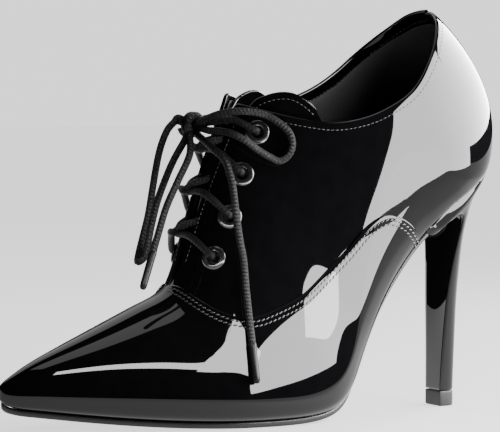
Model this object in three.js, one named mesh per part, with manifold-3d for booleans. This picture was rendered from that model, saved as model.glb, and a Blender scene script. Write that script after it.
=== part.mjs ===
// Lace-up stiletto pump, left shoe, in millimetres.
// X runs from the toe to the heel, -Y is the outer (lateral) side, Z is up and the floor is Z = 0.

import * as THREE from 'three';
import { mergeVertices } from 'three/addons/utils/BufferGeometryUtils.js';
import Module from 'manifold-3d';

const wasm = await Module();
wasm.setup();

// Main sizes of the last and the shoe
const LENGTH = 225;
const BALL_WIDTH = 76;
const HEEL_HEIGHT = 103;
const TOP_HEIGHT = 170;
const SEAT_WIDTH = 55;

// Leather, soles and their clearances
const WALL = 1.8;
const VAMP_STEP = 0.9;
const OUTSOLE = 2.7;
const INSOLE = 2.2;
const PLATFORM = 8;
const LASTING_MARGIN = 4;
const GAP = 0.3;

// Heel, eyelets and lace
const TIP_HEIGHT = 6.5;
const TIP_WIDTH = 12;
const TIP_DEPTH = 8.4;
const EYELET_OUTER = 5;
const EYELET_INNER = 2.4;
const EYELET_BARREL = 3;
const EYELET_ROLL = 0.9;
const EYELET_SIDES = 10;
const LACE = 3;
const TONGUE = 1.6;
const TONGUE_DROP = 0.9;

// How finely the curved pieces are cut into flats
const STATIONS = 32;
const ROUND_STATIONS = 7;
const HALF_SECTION = 9;

// Rows of a table, each with its named columns
const rowOf = (columns, row) => Object.fromEntries(columns.map((key, i) => [key, row[i]]));
const rowsOf = (columns, rows) => rows.map((row) => rowOf(columns, row));

// Sections of the last from the toe to the start of the heel's round back.
// at: share of LENGTH. lift: share of the feather edge's rise. lean: degrees, top towards the toe.
// tall, belly: shares of TOP_HEIGHT along the leaning section. foot, outer, inner: shares of BALL_WIDTH.
// wall: how far the side stays upright. shoulder: how full it is under the ridge. peak: 1 is a round ridge.
// swing: how far the section lies to the inner side, as a share of BALL_WIDTH.
const SECTIONS = rowsOf(
  ['at', 'lift', 'lean', 'tall', 'belly', 'foot', 'outer', 'inner', 'wall', 'shoulder', 'peak', 'swing'],
  [
    [0.000, 0.095, 0, 0.032, 0.014, 0.000, 0.000, 0.000, 0.50, 0.60, 1.00, 0.033],
    [0.009, 0.076, 0, 0.054, 0.023, 0.016, 0.038, 0.038, 0.42, 0.60, 1.00, 0.033],
    [0.029, 0.063, 0, 0.078, 0.029, 0.040, 0.077, 0.074, 0.36, 0.60, 1.00, 0.032],
    [0.062, 0.054, 0, 0.109, 0.034, 0.080, 0.132, 0.125, 0.30, 0.60, 1.00, 0.029],
    [0.133, 0.035, 1, 0.162, 0.041, 0.160, 0.230, 0.217, 0.28, 0.58, 1.00, 0.024],
    [0.213, 0.018, 4, 0.215, 0.047, 0.257, 0.330, 0.316, 0.25, 0.57, 0.99, 0.016],
    [0.302, 0.005, 8, 0.269, 0.050, 0.350, 0.425, 0.408, 0.22, 0.55, 0.98, 0.008],
    [0.391, 0.000, 14, 0.319, 0.050, 0.430, 0.495, 0.480, 0.20, 0.54, 0.98, 0.000],
    [0.471, 0.000, 17, 0.476, 0.050, 0.445, 0.510, 0.495, 0.16, 0.56, 1.00, 0.000],
    [0.538, 0.004, 19, 0.596, 0.053, 0.432, 0.500, 0.482, 0.14, 0.56, 1.00, 0.000],
    [0.596, 0.026, 21, 0.679, 0.065, 0.400, 0.470, 0.452, 0.16, 0.56, 1.00, 0.000],
    [0.640, 0.086, 23, 0.720, 0.082, 0.325, 0.425, 0.402, 0.20, 0.58, 1.00, 0.000],
    [0.678, 0.226, 25, 0.732, 0.100, 0.250, 0.375, 0.350, 0.24, 0.60, 1.00, 0.000],
    [0.716, 0.394, 26, 0.749, 0.112, 0.225, 0.358, 0.340, 0.30, 0.64, 1.00, 0.000],
    [0.756, 0.556, 26, 0.782, 0.118, 0.240, 0.352, 0.342, 0.36, 0.68, 1.00, 0.000],
    [0.800, 0.698, 25, 0.800, 0.120, 0.270, 0.356, 0.352, 0.40, 0.70, 1.00, 0.000],
    [0.835, 0.774, 24, 0.812, 0.120, 0.295, 0.362, 0.360, 0.42, 0.74, 1.00, 0.000],
    [0.871, 0.846, 23, 0.812, 0.120, 0.305, 0.364, 0.364, 0.42, 0.76, 1.00, 0.000],
  ],
);

// The round back of the heel: how far it reaches past the last section, how much the feather edge
// climbs there, how upright the back seam stands and how far the counter bulges behind it
const TREAD_RISE = OUTSOLE + GAP;
const BACK_REACH = LENGTH * 0.116;
const BACK_CLIMB = HEEL_HEIGHT * 0.150;
const BACK_LEAN = 21.5;
const COUNTER_BULGE = 13;
const COUNTER_TALL = TOP_HEIGHT * 0.40;

// Width of the seat in the table's last row, and the place from which the sections widen to SEAT_WIDTH
const LAST_SECTION = SECTIONS[SECTIONS.length - 1];
const TABLE_SEAT_WIDTH = (LAST_SECTION.outer + LAST_SECTION.inner) * BALL_WIDTH;
const SEAT_BLEND = 0.75;

const radians = (degrees) => degrees * Math.PI / 180;
const clamp01 = (value) => Math.min(1, Math.max(0, value));

// Smooth value of one column at a place along the table, 0 at its first row and 1 at its last
function column(rows, key, place) {
  const run = clamp01(place) * (rows.length - 1);
  const row = Math.min(rows.length - 2, Math.floor(run));
  const t = run - row;
  const pick = (index) => rows[Math.min(rows.length - 1, Math.max(0, index))][key];
  const [before, start, end, after] = [pick(row - 1), pick(row), pick(row + 1), pick(row + 2)];
  const slopeIn = (end - before) / 2;
  const slopeOut = (after - start) / 2;
  return start + t * (slopeIn + t * (3 * (end - start) - 2 * slopeIn - slopeOut
    + t * (2 * (start - end) + slopeIn + slopeOut)));
}

// Sizes of the last's section. place runs 0 to 1 along the table and 1 to 2 round the heel's back.
function section(place) {
  const back = clamp01(place - 1) * Math.PI / 2;
  const value = (key) => column(SECTIONS, key, place);
  const half = (key) => value(key) * BALL_WIDTH * Math.cos(back);
  const widen = 1 + (SEAT_WIDTH / TABLE_SEAT_WIDTH - 1) * clamp01((place - SEAT_BLEND) / (1 - SEAT_BLEND));
  return {
    x: value('at') * LENGTH + BACK_REACH * Math.sin(back),
    z: TREAD_RISE + value('lift') * (HEEL_HEIGHT - TREAD_RISE) + BACK_CLIMB * Math.sin(back),
    lean: radians(value('lean') + (BACK_LEAN - value('lean')) * Math.sin(back)),
    tall: value('tall') * TOP_HEIGHT,
    belly: value('belly') * TOP_HEIGHT,
    foot: half('foot') * widen,
    outer: half('outer') * widen,
    inner: half('inner') * widen,
    wall: value('wall'),
    shoulder: value('shoulder'),
    peak: value('peak'),
    swing: value('swing') * BALL_WIDTH,
    bulge: COUNTER_BULGE * Math.sin(back) ** 2,
  };
}

// Share of the half section that turns from the feather edge out to the belly
const TURN_SHARE = 0.3;

// A point of the last's skin. side is -1 outer or 1 inner, t runs 0 at the feather edge to 1 at the ridge.
function skin(place, side, t) {
  const s = section(place);
  const wide = side < 0 ? s.outer : s.inner;
  let y;
  let up;
  if (t < TURN_SHARE) {
    const turn = t / TURN_SHARE * Math.PI / 2;
    y = s.foot + (wide - s.foot) * Math.sin(turn);
    up = s.belly * (1 - Math.cos(turn));
  } else {
    const r = (t - TURN_SHARE) / (1 - TURN_SHARE);
    const q = 1 - r;
    const rise = s.tall - s.belly;
    y = q ** 3 * wide + 3 * q * q * r * wide + 3 * q * r * r * wide * s.shoulder;
    up = s.belly + rise * (3 * q * q * r * s.wall + 3 * q * r * r * s.peak + r ** 3);
  }
  const bulge = s.bulge * Math.sin(Math.PI * clamp01(up / COUNTER_TALL)) ** 0.75;
  return new THREE.Vector3(
    s.x - up * Math.sin(s.lean) + bulge,
    side * y + s.swing,
    s.z + up * Math.cos(s.lean),
  );
}

// Outward normal of the skin, from two short steps along it. It has no Y at the ridge and at either end.
const NORMAL_STEP = 0.004;
function skinNormal(place, side, t) {
  const step = NORMAL_STEP;
  const along = skin(Math.min(2, place + step), side, t).sub(skin(Math.max(0, place - step), side, t));
  const around = skin(place, side, Math.min(1, t + step)).sub(skin(place, side, Math.max(0, t - step)));
  const normal = along.cross(around).multiplyScalar(-side);
  if (t > 1 - step || place < step || place > 2 - step) normal.y = 0;
  return normal.normalize();
}

// Mesh helpers
function solidOf(geometry) {
  const bare = geometry.index ? geometry.toNonIndexed() : geometry.clone();
  bare.deleteAttribute('normal');
  bare.deleteAttribute('uv');
  const merged = mergeVertices(bare, 1e-4);
  const index = merged.index.array;
  const kept = [];
  for (let i = 0; i < index.length; i += 3) {
    const [a, b, c] = [index[i], index[i + 1], index[i + 2]];
    if (a !== b && b !== c && c !== a) kept.push(a, b, c);
  }
  const vertProperties = new Float32Array(merged.attributes.position.array);
  return new wasm.Manifold(new wasm.Mesh({ numProp: 3, vertProperties, triVerts: new Uint32Array(kept) }));
}

function geometryOf(solid) {
  const mesh = solid.getMesh();
  const geometry = new THREE.BufferGeometry();
  geometry.setAttribute('position', new THREE.BufferAttribute(new Float32Array(mesh.vertProperties), 3));
  geometry.setIndex(new THREE.BufferAttribute(new Uint32Array(mesh.triVerts), 1));
  geometry.computeVertexNormals();
  return geometry;
}

// Closed mesh through rings of equal length, from the toe to the heel, each anticlockwise seen from the heel
function ringsGeometry(rings) {
  const points = [];
  const quad = (a, b, c, d) => points.push(a, b, c, a, c, d);
  const count = rings[0].length;
  for (let i = 0; i + 1 < rings.length; i += 1) {
    for (let j = 0; j < count; j += 1) {
      const k = (j + 1) % count;
      quad(rings[i][j], rings[i][k], rings[i + 1][k], rings[i + 1][j]);
    }
  }
  const middle = (ring) => ring.reduce((sum, p) => sum.add(p), new THREE.Vector3()).divideScalar(count);
  const isLine = (ring) => ring.every((p) => Math.abs(p.y - ring[0].y) < 1e-3);
  const [first, last] = [rings[0], rings[rings.length - 1]];
  const [firstMiddle, lastMiddle] = [middle(first), middle(last)];
  for (let j = 0; j < count; j += 1) {
    const k = (j + 1) % count;
    if (!isLine(first)) points.push(firstMiddle, first[k], first[j]);
    if (!isLine(last)) points.push(lastMiddle, last[j], last[k]);
  }
  return new THREE.BufferGeometry().setFromPoints(points);
}

const ringsSolid = (rings) => solidOf(ringsGeometry(rings));

// An outline in the X-Z plane, extruded across the shoe from one Y to another
function sideways(outline, yStart, yEnd) {
  const shape = new THREE.Shape(outline.map(([x, z]) => new THREE.Vector2(x, z)));
  const geometry = new THREE.ExtrudeGeometry(shape, { depth: yEnd - yStart, bevelEnabled: false });
  geometry.rotateX(Math.PI / 2);
  geometry.translate(0, yEnd, 0);
  return solidOf(geometry);
}

// A smooth line through a few points of the side view
function smoothLine(points, steps) {
  const curve = new THREE.SplineCurve(points.map(([x, z]) => new THREE.Vector2(x, z)));
  return curve.getPoints(steps).map((p) => [p.x, p.y]);
}

function placesBetween(start, end) {
  const places = [];
  for (let i = 0; i <= STATIONS; i += 1) places.push(i / STATIONS);
  for (let i = 1; i <= ROUND_STATIONS; i += 1) places.push(1 + i / ROUND_STATIONS);
  return places.filter((place) => place >= start && place <= end);
}

// The last's whole form, moved out along its normals by an offset that may change with t
function form(offset, start = 0) {
  const offsetAt = typeof offset === 'function' ? offset : () => offset;
  const rings = placesBetween(start, 2).map((place) => {
    const ring = [];
    for (let j = 0; j <= HALF_SECTION; j += 1) {
      const t = j / HALF_SECTION;
      ring.push(skin(place, 1, t).addScaledVector(skinNormal(place, 1, t), offsetAt(t)));
    }
    for (let j = HALF_SECTION - 1; j >= 0; j -= 1) {
      const t = j / HALF_SECTION;
      ring.push(skin(place, -1, t).addScaledVector(skinNormal(place, -1, t), offsetAt(t)));
    }
    return ring;
  });
  return ringsSolid(rings);
}

// Four-cornered rings across the shoe: a band between two heights over the feather edge
function band(start, end, half, low, high) {
  return ringsSolid(placesBetween(start, end).map((place) => {
    const s = section(place);
    const corner = (y, up) => new THREE.Vector3(
      s.x - up * Math.sin(s.lean),
      y + s.swing,
      Math.max(0, s.z + up * Math.cos(s.lean)),
    );
    const wide = half(s, place);
    return [corner(-wide, low(s, place)), corner(wide, low(s, place)),
      corner(wide, high(s, place)), corner(-wide, high(s, place))];
  }));
}

// Where along the table a length from the toe is reached by the feather edge
function placeAt(x) {
  let [low, high] = [0, 2];
  for (let i = 0; i < 40; i += 1) {
    const middle = (low + high) / 2;
    if (section(middle).x < x) low = middle; else high = middle;
  }
  return low;
}

// Edges drawn on the side view, as shares of LENGTH and TOP_HEIGHT
const COLLAR_OUTER = [[0.430, 0.770], [0.505, 0.740], [0.565, 0.722], [0.618, 0.714], [0.672, 0.724],
  [0.722, 0.748], [0.775, 0.792], [0.820, 0.870], [0.860, 0.962], [0.892, 1.000]];
const COLLAR_INNER = [[0.430, 0.800], [0.505, 0.768], [0.565, 0.756], [0.622, 0.765], [0.680, 0.790],
  [0.732, 0.828], [0.790, 0.888], [0.830, 0.934], [0.864, 0.978], [0.892, 1.000]];
const VAMP_EDGE = [[0.270, 0.500], [0.312, 0.372], [0.330, 0.332], [0.352, 0.296], [0.384, 0.268],
  [0.425, 0.258], [0.475, 0.276], [0.540, 0.314], [0.620, 0.396], [0.672, 0.462], [0.715, 0.490],
  [0.755, 0.476], [0.790, 0.438], [0.830, 0.370]];
const TONGUE_EDGE = [[0.300, 0.300], [0.300, 0.700], [0.440, 0.735], [0.484, 0.778], [0.535, 0.790],
  [0.580, 0.755], [0.595, 0.715], [0.570, 0.640], [0.520, 0.520], [0.465, 0.400], [0.430, 0.300]];

const inShoe = (outline) => outline.map(([x, z]) => [x * LENGTH, z * TOP_HEIGHT]);
const ABOVE = TOP_HEIGHT * 1.6;
const BEYOND = BALL_WIDTH;

function collarCut(line, yStart, yEnd) {
  const edge = smoothLine(inShoe(line), 26);
  const [frontX] = edge[0];
  const [, backZ] = edge[edge.length - 1];
  const outline = [[frontX, ABOVE], ...edge, [LENGTH * 1.2, backZ + WALL], [LENGTH * 1.2, ABOVE]];
  return sideways(outline, yStart, yEnd);
}

// The open throat between the eyestays from the front: height as a share of TOP_HEIGHT, then each edge's Y
const THROAT = [[0.322, -0.3, 0.3], [0.40, -2.8, 3.0], [0.52, -4.6, 5.0], [0.66, -6.2, 6.8],
  [0.80, -7.6, 8.6], [1.60, -13, 14]];

function throatCut() {
  const outerEdge = THROAT.map(([z, y]) => new THREE.Vector2(y, z * TOP_HEIGHT));
  const innerEdge = THROAT.map(([z, , y]) => new THREE.Vector2(y, z * TOP_HEIGHT)).reverse();
  const depth = LENGTH * 0.3;
  const shape = new THREE.Shape([...outerEdge, ...innerEdge]);
  const geometry = new THREE.ExtrudeGeometry(shape, { depth, bevelEnabled: false });
  geometry.rotateX(Math.PI / 2);
  geometry.rotateZ(Math.PI / 2);
  geometry.translate(LENGTH * 0.22, 0, 0);
  return solidOf(geometry);
}

// Where the sole comes up through the lasting margin
const MARGIN_START = placeAt(LENGTH * 0.09);
const MARGIN_END = placeAt(LENGTH * 0.95);
const insideMargin = (clearance) => (s) => Math.max(0.6, s.foot - LASTING_MARGIN - clearance);

const outerForm = form(0);
const innerForm = form(-WALL, placeAt(LENGTH * 0.045));
const vampRegion = sideways(
  [[-LENGTH * 0.1, -1], ...smoothLine(inShoe(VAMP_EDGE), 40), [LENGTH * 0.83, -1]],
  -BEYOND,
  BEYOND,
);

function upper() {
  const vamp = form((t) => VAMP_STEP * clamp01(2 * t / TURN_SHARE)).intersect(vampRegion);
  const opening = band(MARGIN_START, MARGIN_END, insideMargin(0), () => -2 * WALL, () => 2 * WALL);
  return outerForm.add(vamp)
    .subtract(innerForm)
    .subtract(opening)
    .subtract(collarCut(COLLAR_OUTER, -BEYOND, 0))
    .subtract(collarCut(COLLAR_INNER, 0, BEYOND))
    .subtract(throatCut())
    .subtract(eyeletFrames.map(eyeletHole).reduce((all, hole) => all.add(hole)));
}

// Height of the concealed platform over the feather edge: full under the toes, gone in the waist
const PLATFORM_END = placeAt(LENGTH * 0.66);
const PLATFORM_FULL = placeAt(LENGTH * 0.56);
function platformTop(s, place) {
  const fade = clamp01((PLATFORM_END - place) / (PLATFORM_END - PLATFORM_FULL));
  return WALL + GAP + (PLATFORM - WALL - GAP) * fade * fade * (3 - 2 * fade);
}

const SEAT_FRONT = placeAt(LENGTH * 0.818);

function sole() {
  const under = (s) => -TREAD_RISE / Math.cos(s.lean);
  const plate = band(0.02, SEAT_FRONT, (s) => s.foot + GAP, under, () => -GAP);
  const lift = (s, place) => (place < SEAT_FRONT - 0.02 ? -2 * GAP : GAP);
  const plug = band(MARGIN_START + 0.01, MARGIN_END - 0.05, insideMargin(GAP), lift, platformTop);
  const core = band(MARGIN_START + 0.02, PLATFORM_END, (s) => s.outer, () => WALL, platformTop)
    .intersect(form(-WALL - GAP, MARGIN_START));
  return plate.add(plug).add(core);
}

function insole() {
  const sheet = band(
    placeAt(LENGTH * 0.1),
    2,
    (s) => s.outer + 1,
    (s, place) => platformTop(s, place) + GAP,
    (s, place) => platformTop(s, place) + GAP + INSOLE,
  );
  return sheet.intersect(form(-WALL - GAP, placeAt(LENGTH * 0.08)));
}

function tongue() {
  const top = form(-WALL - TONGUE_DROP, placeAt(LENGTH * 0.1));
  const underside = form(-WALL - TONGUE_DROP - TONGUE, placeAt(LENGTH * 0.1));
  const outline = smoothLine(inShoe([...TONGUE_EDGE, TONGUE_EDGE[0]]), 40).slice(0, -1);
  const region = sideways(outline, -BEYOND, BEYOND);
  return top.subtract(underside).intersect(region);
}

// Heel sections from the tip to the seat. frontAt, backAt: shares of LENGTH. frontUp, backUp: shares of
// HEEL_HEIGHT. half: share of SEAT_WIDTH. full: 2 is a half ellipse behind the breast, more is squarer.
const HEEL_SECTIONS = rowsOf(
  ['frontAt', 'frontUp', 'backAt', 'backUp', 'half', 'full', 'scoop'],
  [
    [0.889, 0.233, 0.925, 0.233, 0.127, 3.0, 0.000],
    [0.893, 0.437, 0.927, 0.437, 0.162, 2.7, 0.002],
    [0.899, 0.583, 0.930, 0.583, 0.204, 2.4, 0.005],
    [0.904, 0.680, 0.931, 0.686, 0.247, 2.2, 0.009],
    [0.906, 0.745, 0.932, 0.768, 0.292, 2.2, 0.014],
    [0.903, 0.790, 0.938, 0.834, 0.331, 2.3, 0.018],
    [0.890, 0.797, 0.949, 0.889, 0.364, 2.4, 0.016],
    [0.862, 0.768, 0.965, 0.941, 0.393, 2.5, 0.010],
    [0.822, 0.722, 0.985, 1.005, 0.408, 2.6, 0.004],
    [0.800, 0.800, 0.975, 1.080, 0.408, 2.6, 0.004],
  ],
);
const HEEL_POINTS = 14;
const BREAST_POINTS = 4;

// One D-shaped ring of the heel, flat or scooped at the breast and round behind
function heelRing(front, back, half, full, scoop) {
  const pointAt = (y, share) => new THREE.Vector3(
    front.x + (back.x - front.x) * share,
    y,
    front.y + (back.y - front.y) * share,
  );
  const depth = front.distanceTo(back);
  const ring = [];
  for (let i = 0; i <= HEEL_POINTS; i += 1) {
    const turn = Math.PI * (i / HEEL_POINTS - 0.5);
    const y = half * Math.sign(Math.sin(turn)) * Math.abs(Math.sin(turn)) ** (2 / full);
    ring.push(pointAt(y, Math.max(0, Math.cos(turn)) ** (2 / full)));
  }
  for (let i = 1; i < BREAST_POINTS; i += 1) {
    const y = half * (1 - 2 * i / BREAST_POINTS);
    ring.push(pointAt(y, scoop / depth * (1 - (y / half) ** 2)));
  }
  return ring;
}

// The part of the side view that lies under the seat, with the gap that the heel keeps to it
function underSeat(clearance) {
  const seat = [];
  for (let place = SEAT_FRONT + 0.004; place < 2; place += 0.05) {
    const s = section(place);
    seat.push([s.x, s.z - clearance]);
  }
  const end = section(2);
  seat.push([end.x, end.z - clearance], [LENGTH * 1.2, end.z - clearance], [LENGTH * 1.2, -1]);
  return sideways([[seat[0][0], -1], ...seat], -BEYOND, BEYOND);
}

// The heel's foot and the tip under it share one outline
const TIP_FRONT = LENGTH * 0.8865;
const TIP_FULL = 3;
const tipRing = (height) => heelRing(
  new THREE.Vector2(TIP_FRONT, height),
  new THREE.Vector2(TIP_FRONT + TIP_DEPTH, height),
  TIP_WIDTH / 2,
  TIP_FULL,
  0,
);

function heel() {
  const rings = HEEL_SECTIONS.map((row) => heelRing(
    new THREE.Vector2(row.frontAt * LENGTH, row.frontUp * HEEL_HEIGHT),
    new THREE.Vector2(row.backAt * LENGTH, row.backUp * HEEL_HEIGHT),
    row.half * SEAT_WIDTH,
    row.full,
    row.scoop * LENGTH,
  ));
  return ringsSolid([tipRing(TIP_HEIGHT + GAP), ...rings]).intersect(underSeat(GAP));
}

const heelTip = () => ringsSolid([tipRing(0), tipRing(TIP_HEIGHT)]);

// Centres of the eyelets on the side view, as shares of LENGTH and TOP_HEIGHT, from the top pair down
const EYELETS = [[0.476, 0.697], [0.443, 0.598], [0.414, 0.497], [0.381, 0.400]];

// The place and t on one side of the last that show at a point of the side view
function findOnSide(x, z, side) {
  let best = { place: 0.5, t: 0.8 };
  let span = 0.25;
  const miss = (place, t) => {
    const p = skin(place, side, t);
    return (p.x - x) ** 2 + (p.z - z) ** 2;
  };
  for (let round = 0; round < 14; round += 1) {
    const centre = best;
    let least = miss(best.place, best.t);
    for (let i = -3; i <= 3; i += 1) {
      for (let j = -3; j <= 3; j += 1) {
        const place = clamp01((centre.place + span * i / 3) / 2) * 2;
        const t = clamp01(centre.t + span * j / 3);
        if (miss(place, t) < least) {
          least = miss(place, t);
          best = { place, t };
        }
      }
    }
    span *= 0.6;
  }
  return best;
}

function eyeletFrame([x, z], side) {
  const { place, t } = findOnSide(x * LENGTH, z * TOP_HEIGHT, side);
  const normal = skinNormal(place, side, t);
  const turn = new THREE.Quaternion().setFromUnitVectors(new THREE.Vector3(0, 1, 0), normal);
  return { place, t, side, centre: skin(place, side, t), normal, turn };
}

const eyeletFrames = [-1, 1].flatMap((side) => EYELETS.map((spot) => eyeletFrame(spot, side)));

// A ring turned round the eyelet's own axis from a closed profile of [radius, height over the leather]
function turned(profile, frame) {
  const points = profile.map(([radius, height]) => new THREE.Vector2(radius, height));
  const geometry = new THREE.LatheGeometry([...points, points[0]], EYELET_SIDES);
  geometry.applyQuaternion(frame.turn);
  geometry.translate(frame.centre.x, frame.centre.y, frame.centre.z);
  return solidOf(geometry);
}

function eyelet(frame) {
  const under = -WALL - GAP;
  return turned([
    [EYELET_INNER, under], [EYELET_BARREL, under], [EYELET_BARREL, GAP], [EYELET_OUTER, GAP],
    [EYELET_OUTER, GAP + EYELET_ROLL / 2], [EYELET_OUTER - 0.8, GAP + EYELET_ROLL],
    [EYELET_INNER + 0.4, GAP + EYELET_ROLL],
  ], frame);
}

function eyeletHole(frame) {
  const radius = EYELET_BARREL + GAP;
  const geometry = new THREE.CylinderGeometry(radius, radius, 4 * WALL, EYELET_SIDES);
  geometry.applyQuaternion(frame.turn);
  geometry.translate(frame.centre.x, frame.centre.y, frame.centre.z);
  return solidOf(geometry);
}

// A round cord along hand-placed points
function cord(points, diameter, steps) {
  const circle = new THREE.Shape().absarc(0, 0, diameter / 2, 0, 2 * Math.PI, false);
  const extrudePath = new THREE.CatmullRomCurve3(points.map(([x, y, z]) => new THREE.Vector3(x, y, z)));
  return solidOf(new THREE.ExtrudeGeometry(circle, { extrudePath, steps, curveSegments: 4 }));
}

// The knot sits in front of the top of the throat
const KNOT = { centre: [84.6, 0.5, 121.5], size: [5.0, 6.4, 6.0] };

// How high the lace's middle lies over the skin at an eyelet and over the ridge
const LACE_OVER_EYELET = GAP + EYELET_ROLL + LACE;
const LACE_OVER_RIDGE = LACE * 1.2;

// The place where the ridge of the instep reaches a height
function ridgePlace(z) {
  let [low, high] = [0.2, 0.8];
  for (let i = 0; i < 30; i += 1) {
    const middle = (low + high) / 2;
    if (skin(middle, -1, 1).z < z) low = middle; else high = middle;
  }
  return low;
}

// A point over the skin, a share of the way from an eyelet to a place on the ridge
function overSkin(frame, place, share, height) {
  const at = frame.place + (place - frame.place) * share;
  const t = frame.t + (1 - frame.t) * share;
  return skin(at, frame.side, t).addScaledVector(skinNormal(at, frame.side, t), height).toArray();
}

// One strand from an eyelet to the next pair up on the other side
function crossing(from, to, lift) {
  const place = ridgePlace((from.centre.z + to.centre.z) / 2);
  const height = LACE_OVER_RIDGE + lift;
  return cord([
    overSkin(from, place, 0, LACE_OVER_EYELET), overSkin(from, place, 0.5, height),
    overSkin(from, place, 1, height),
    overSkin(to, place, 0.5, height), overSkin(to, place, 0, LACE_OVER_EYELET),
  ], LACE, 6);
}

function laceCrossings() {
  const frameOf = (side, pair) => eyeletFrames[(side < 0 ? 0 : EYELETS.length) + pair];
  const strands = [];
  for (let pair = EYELETS.length - 1; pair > 0; pair -= 1) {
    strands.push(crossing(frameOf(-1, pair), frameOf(1, pair - 1), 0));
    strands.push(crossing(frameOf(1, pair), frameOf(-1, pair - 1), LACE * 0.6));
  }
  const [kx, ky, kz] = KNOT.centre;
  [-1, 1].forEach((side) => {
    const frame = frameOf(side, 0);
    const beside = [kx + 4.3, ky + side * 4.4, kz + 1.0];
    strands.push(cord([
      overSkin(frame, ridgePlace(kz), 0, LACE_OVER_EYELET),
      overSkin(frame, ridgePlace(kz), 0.45, LACE_OVER_RIDGE),
      beside,
    ], LACE, 3));
  });
  return strands.reduce((all, strand) => all.add(strand));
}

// Free parts of the lace, in millimetres from the toe, the middle line and the floor
const LOOP_OUTER = [[86.0, -6.2, 123.4], [91.0, -11.8, 126.2], [97.4, -15.4, 127.2], [103.6, -16.8, 126.8],
  [109.4, -17.8, 125.4], [114.0, -19.4, 122.6], [117.7, -20.6, 119.3], [119.2, -21.4, 115.6],
  [118.9, -21.8, 111.6], [116.6, -21.6, 108.3], [113.2, -21.2, 107.0], [108.7, -21.0, 108.9],
  [103.1, -21.2, 112.0], [97.2, -21.0, 116.0], [91.8, -18.0, 118.8], [87.6, -10.6, 119.4]];
const LOOP_INNER = [[78.6, 3.0, 123.2], [75.0, 3.2, 119.6], [71.6, 2.6, 113.0], [69.2, 2.0, 105.0],
  [66.8, 1.0, 95.0], [64.4, 0.0, 85.0], [60.8, -1.6, 75.0], [58.2, -3.2, 68.4], [57.6, -4.8, 66.6],
  [60.2, -6.0, 69.6], [62.4, -6.4, 80.0], [65.2, -6.2, 90.0], [69.2, -5.4, 99.0], [73.6, -4.4, 107.0],
  [78.4, -3.4, 113.8]];
const END_INNER = [[81.4, -3.8, 117.2], [79.0, -8.6, 109.8], [72.6, -11.0, 99.6], [66.6, -12.2, 89.0],
  [62.6, -13.0, 78.6], [59.6, -13.8, 70.6]];
const END_OUTER = [[85.4, -5.0, 116.8], [87.8, -12.4, 112.0], [90.4, -17.4, 107.6], [91.4, -20.0, 102.0],
  [91.9, -22.0, 95.7], [91.9, -24.6, 85.6], [93.0, -25.6, 75.6], [94.4, -26.2, 67.4], [93.9, -29.4, 55.4],
  [93.5, -33.0, 43.8], [93.2, -36.2, 33.6]];
const AGLET = 15;
const AGLET_WALL = 0.25;

// The stiff tip at the end of a lace, in line with its last stretch
function aglet(points) {
  const [before, last] = points.slice(-2).map(([x, y, z]) => new THREE.Vector3(x, y, z));
  const along = last.clone().sub(before).normalize();
  const start = last.clone().addScaledVector(along, GAP);
  const end = start.clone().addScaledVector(along, AGLET);
  return cord([start.toArray(), end.toArray()], LACE + 2 * AGLET_WALL - GAP, 1);
}

function knot() {
  const geometry = new THREE.SphereGeometry(1, 12, 8);
  geometry.scale(...KNOT.size);
  geometry.translate(...KNOT.centre);
  return solidOf(geometry);
}

const patent = new THREE.MeshStandardMaterial({ color: 0x0b0b0c, roughness: 0.08, metalness: 0 });
const lining = new THREE.MeshStandardMaterial({ color: 0x17171a, roughness: 0.6, metalness: 0 });
const rubber = new THREE.MeshStandardMaterial({ color: 0x141415, roughness: 0.5, metalness: 0 });
const enamel = new THREE.MeshStandardMaterial({ color: 0x0d0d0e, roughness: 0.2, metalness: 0.3 });
const waxedCord = new THREE.MeshStandardMaterial({ color: 0x1b1b1d, roughness: 0.55, metalness: 0 });

const shoe = new THREE.Group();
function add(name, solid, material) {
  const mesh = new THREE.Mesh(geometryOf(solid), material);
  mesh.name = name;
  shoe.add(mesh);
}

add('upper', upper(), patent);
add('sole', sole(), rubber);
add('insole', insole(), lining);
add('tongue', tongue(), patent);
add('heel', heel(), patent);
add('heel_tip', heelTip(), rubber);
eyeletFrames.forEach((frame, index) => {
  const sideName = frame.side < 0 ? 'outer' : 'inner';
  add(`eyelet_${sideName}_${index % EYELETS.length + 1}`, eyelet(frame), enamel);
});
add('lace_crossings', laceCrossings(), waxedCord);
add('lace_knot', knot(), waxedCord);
add('lace_loop_outer', cord(LOOP_OUTER, LACE, 15), waxedCord);
add('lace_loop_inner', cord(LOOP_INNER, LACE, 14), waxedCord);
add('lace_end_outer', cord(END_OUTER, LACE, 12), waxedCord);
add('lace_end_inner', cord(END_INNER, LACE, 8), waxedCord);
add('aglet_outer', aglet(END_OUTER), enamel);
add('aglet_inner', aglet(END_INNER), enamel);

// The origin is on the floor at the middle of the whole shoe
const box = new THREE.Box3().setFromObject(shoe);
shoe.position.set(-(box.min.x + box.max.x) / 2, -(box.min.y + box.max.y) / 2, 0);

export default shoe;
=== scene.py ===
# %% [markdown]
# # A lace-up stiletto pump
#
# This lesson dresses a finished construction model of a left shoe: a pointed pump in black patent
# leather on a slim high heel, with eight eyelets and a waxed lace tied in a bow. The construction
# model gives every piece its real place and size. Blender adds the smooth leather, the seams and
# stitches, the braid of the lace, the finishes and the studio.

# %% Load the construction model
import bmesh
import bpy
import numpy as np
from mathutils import Matrix, Vector


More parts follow.
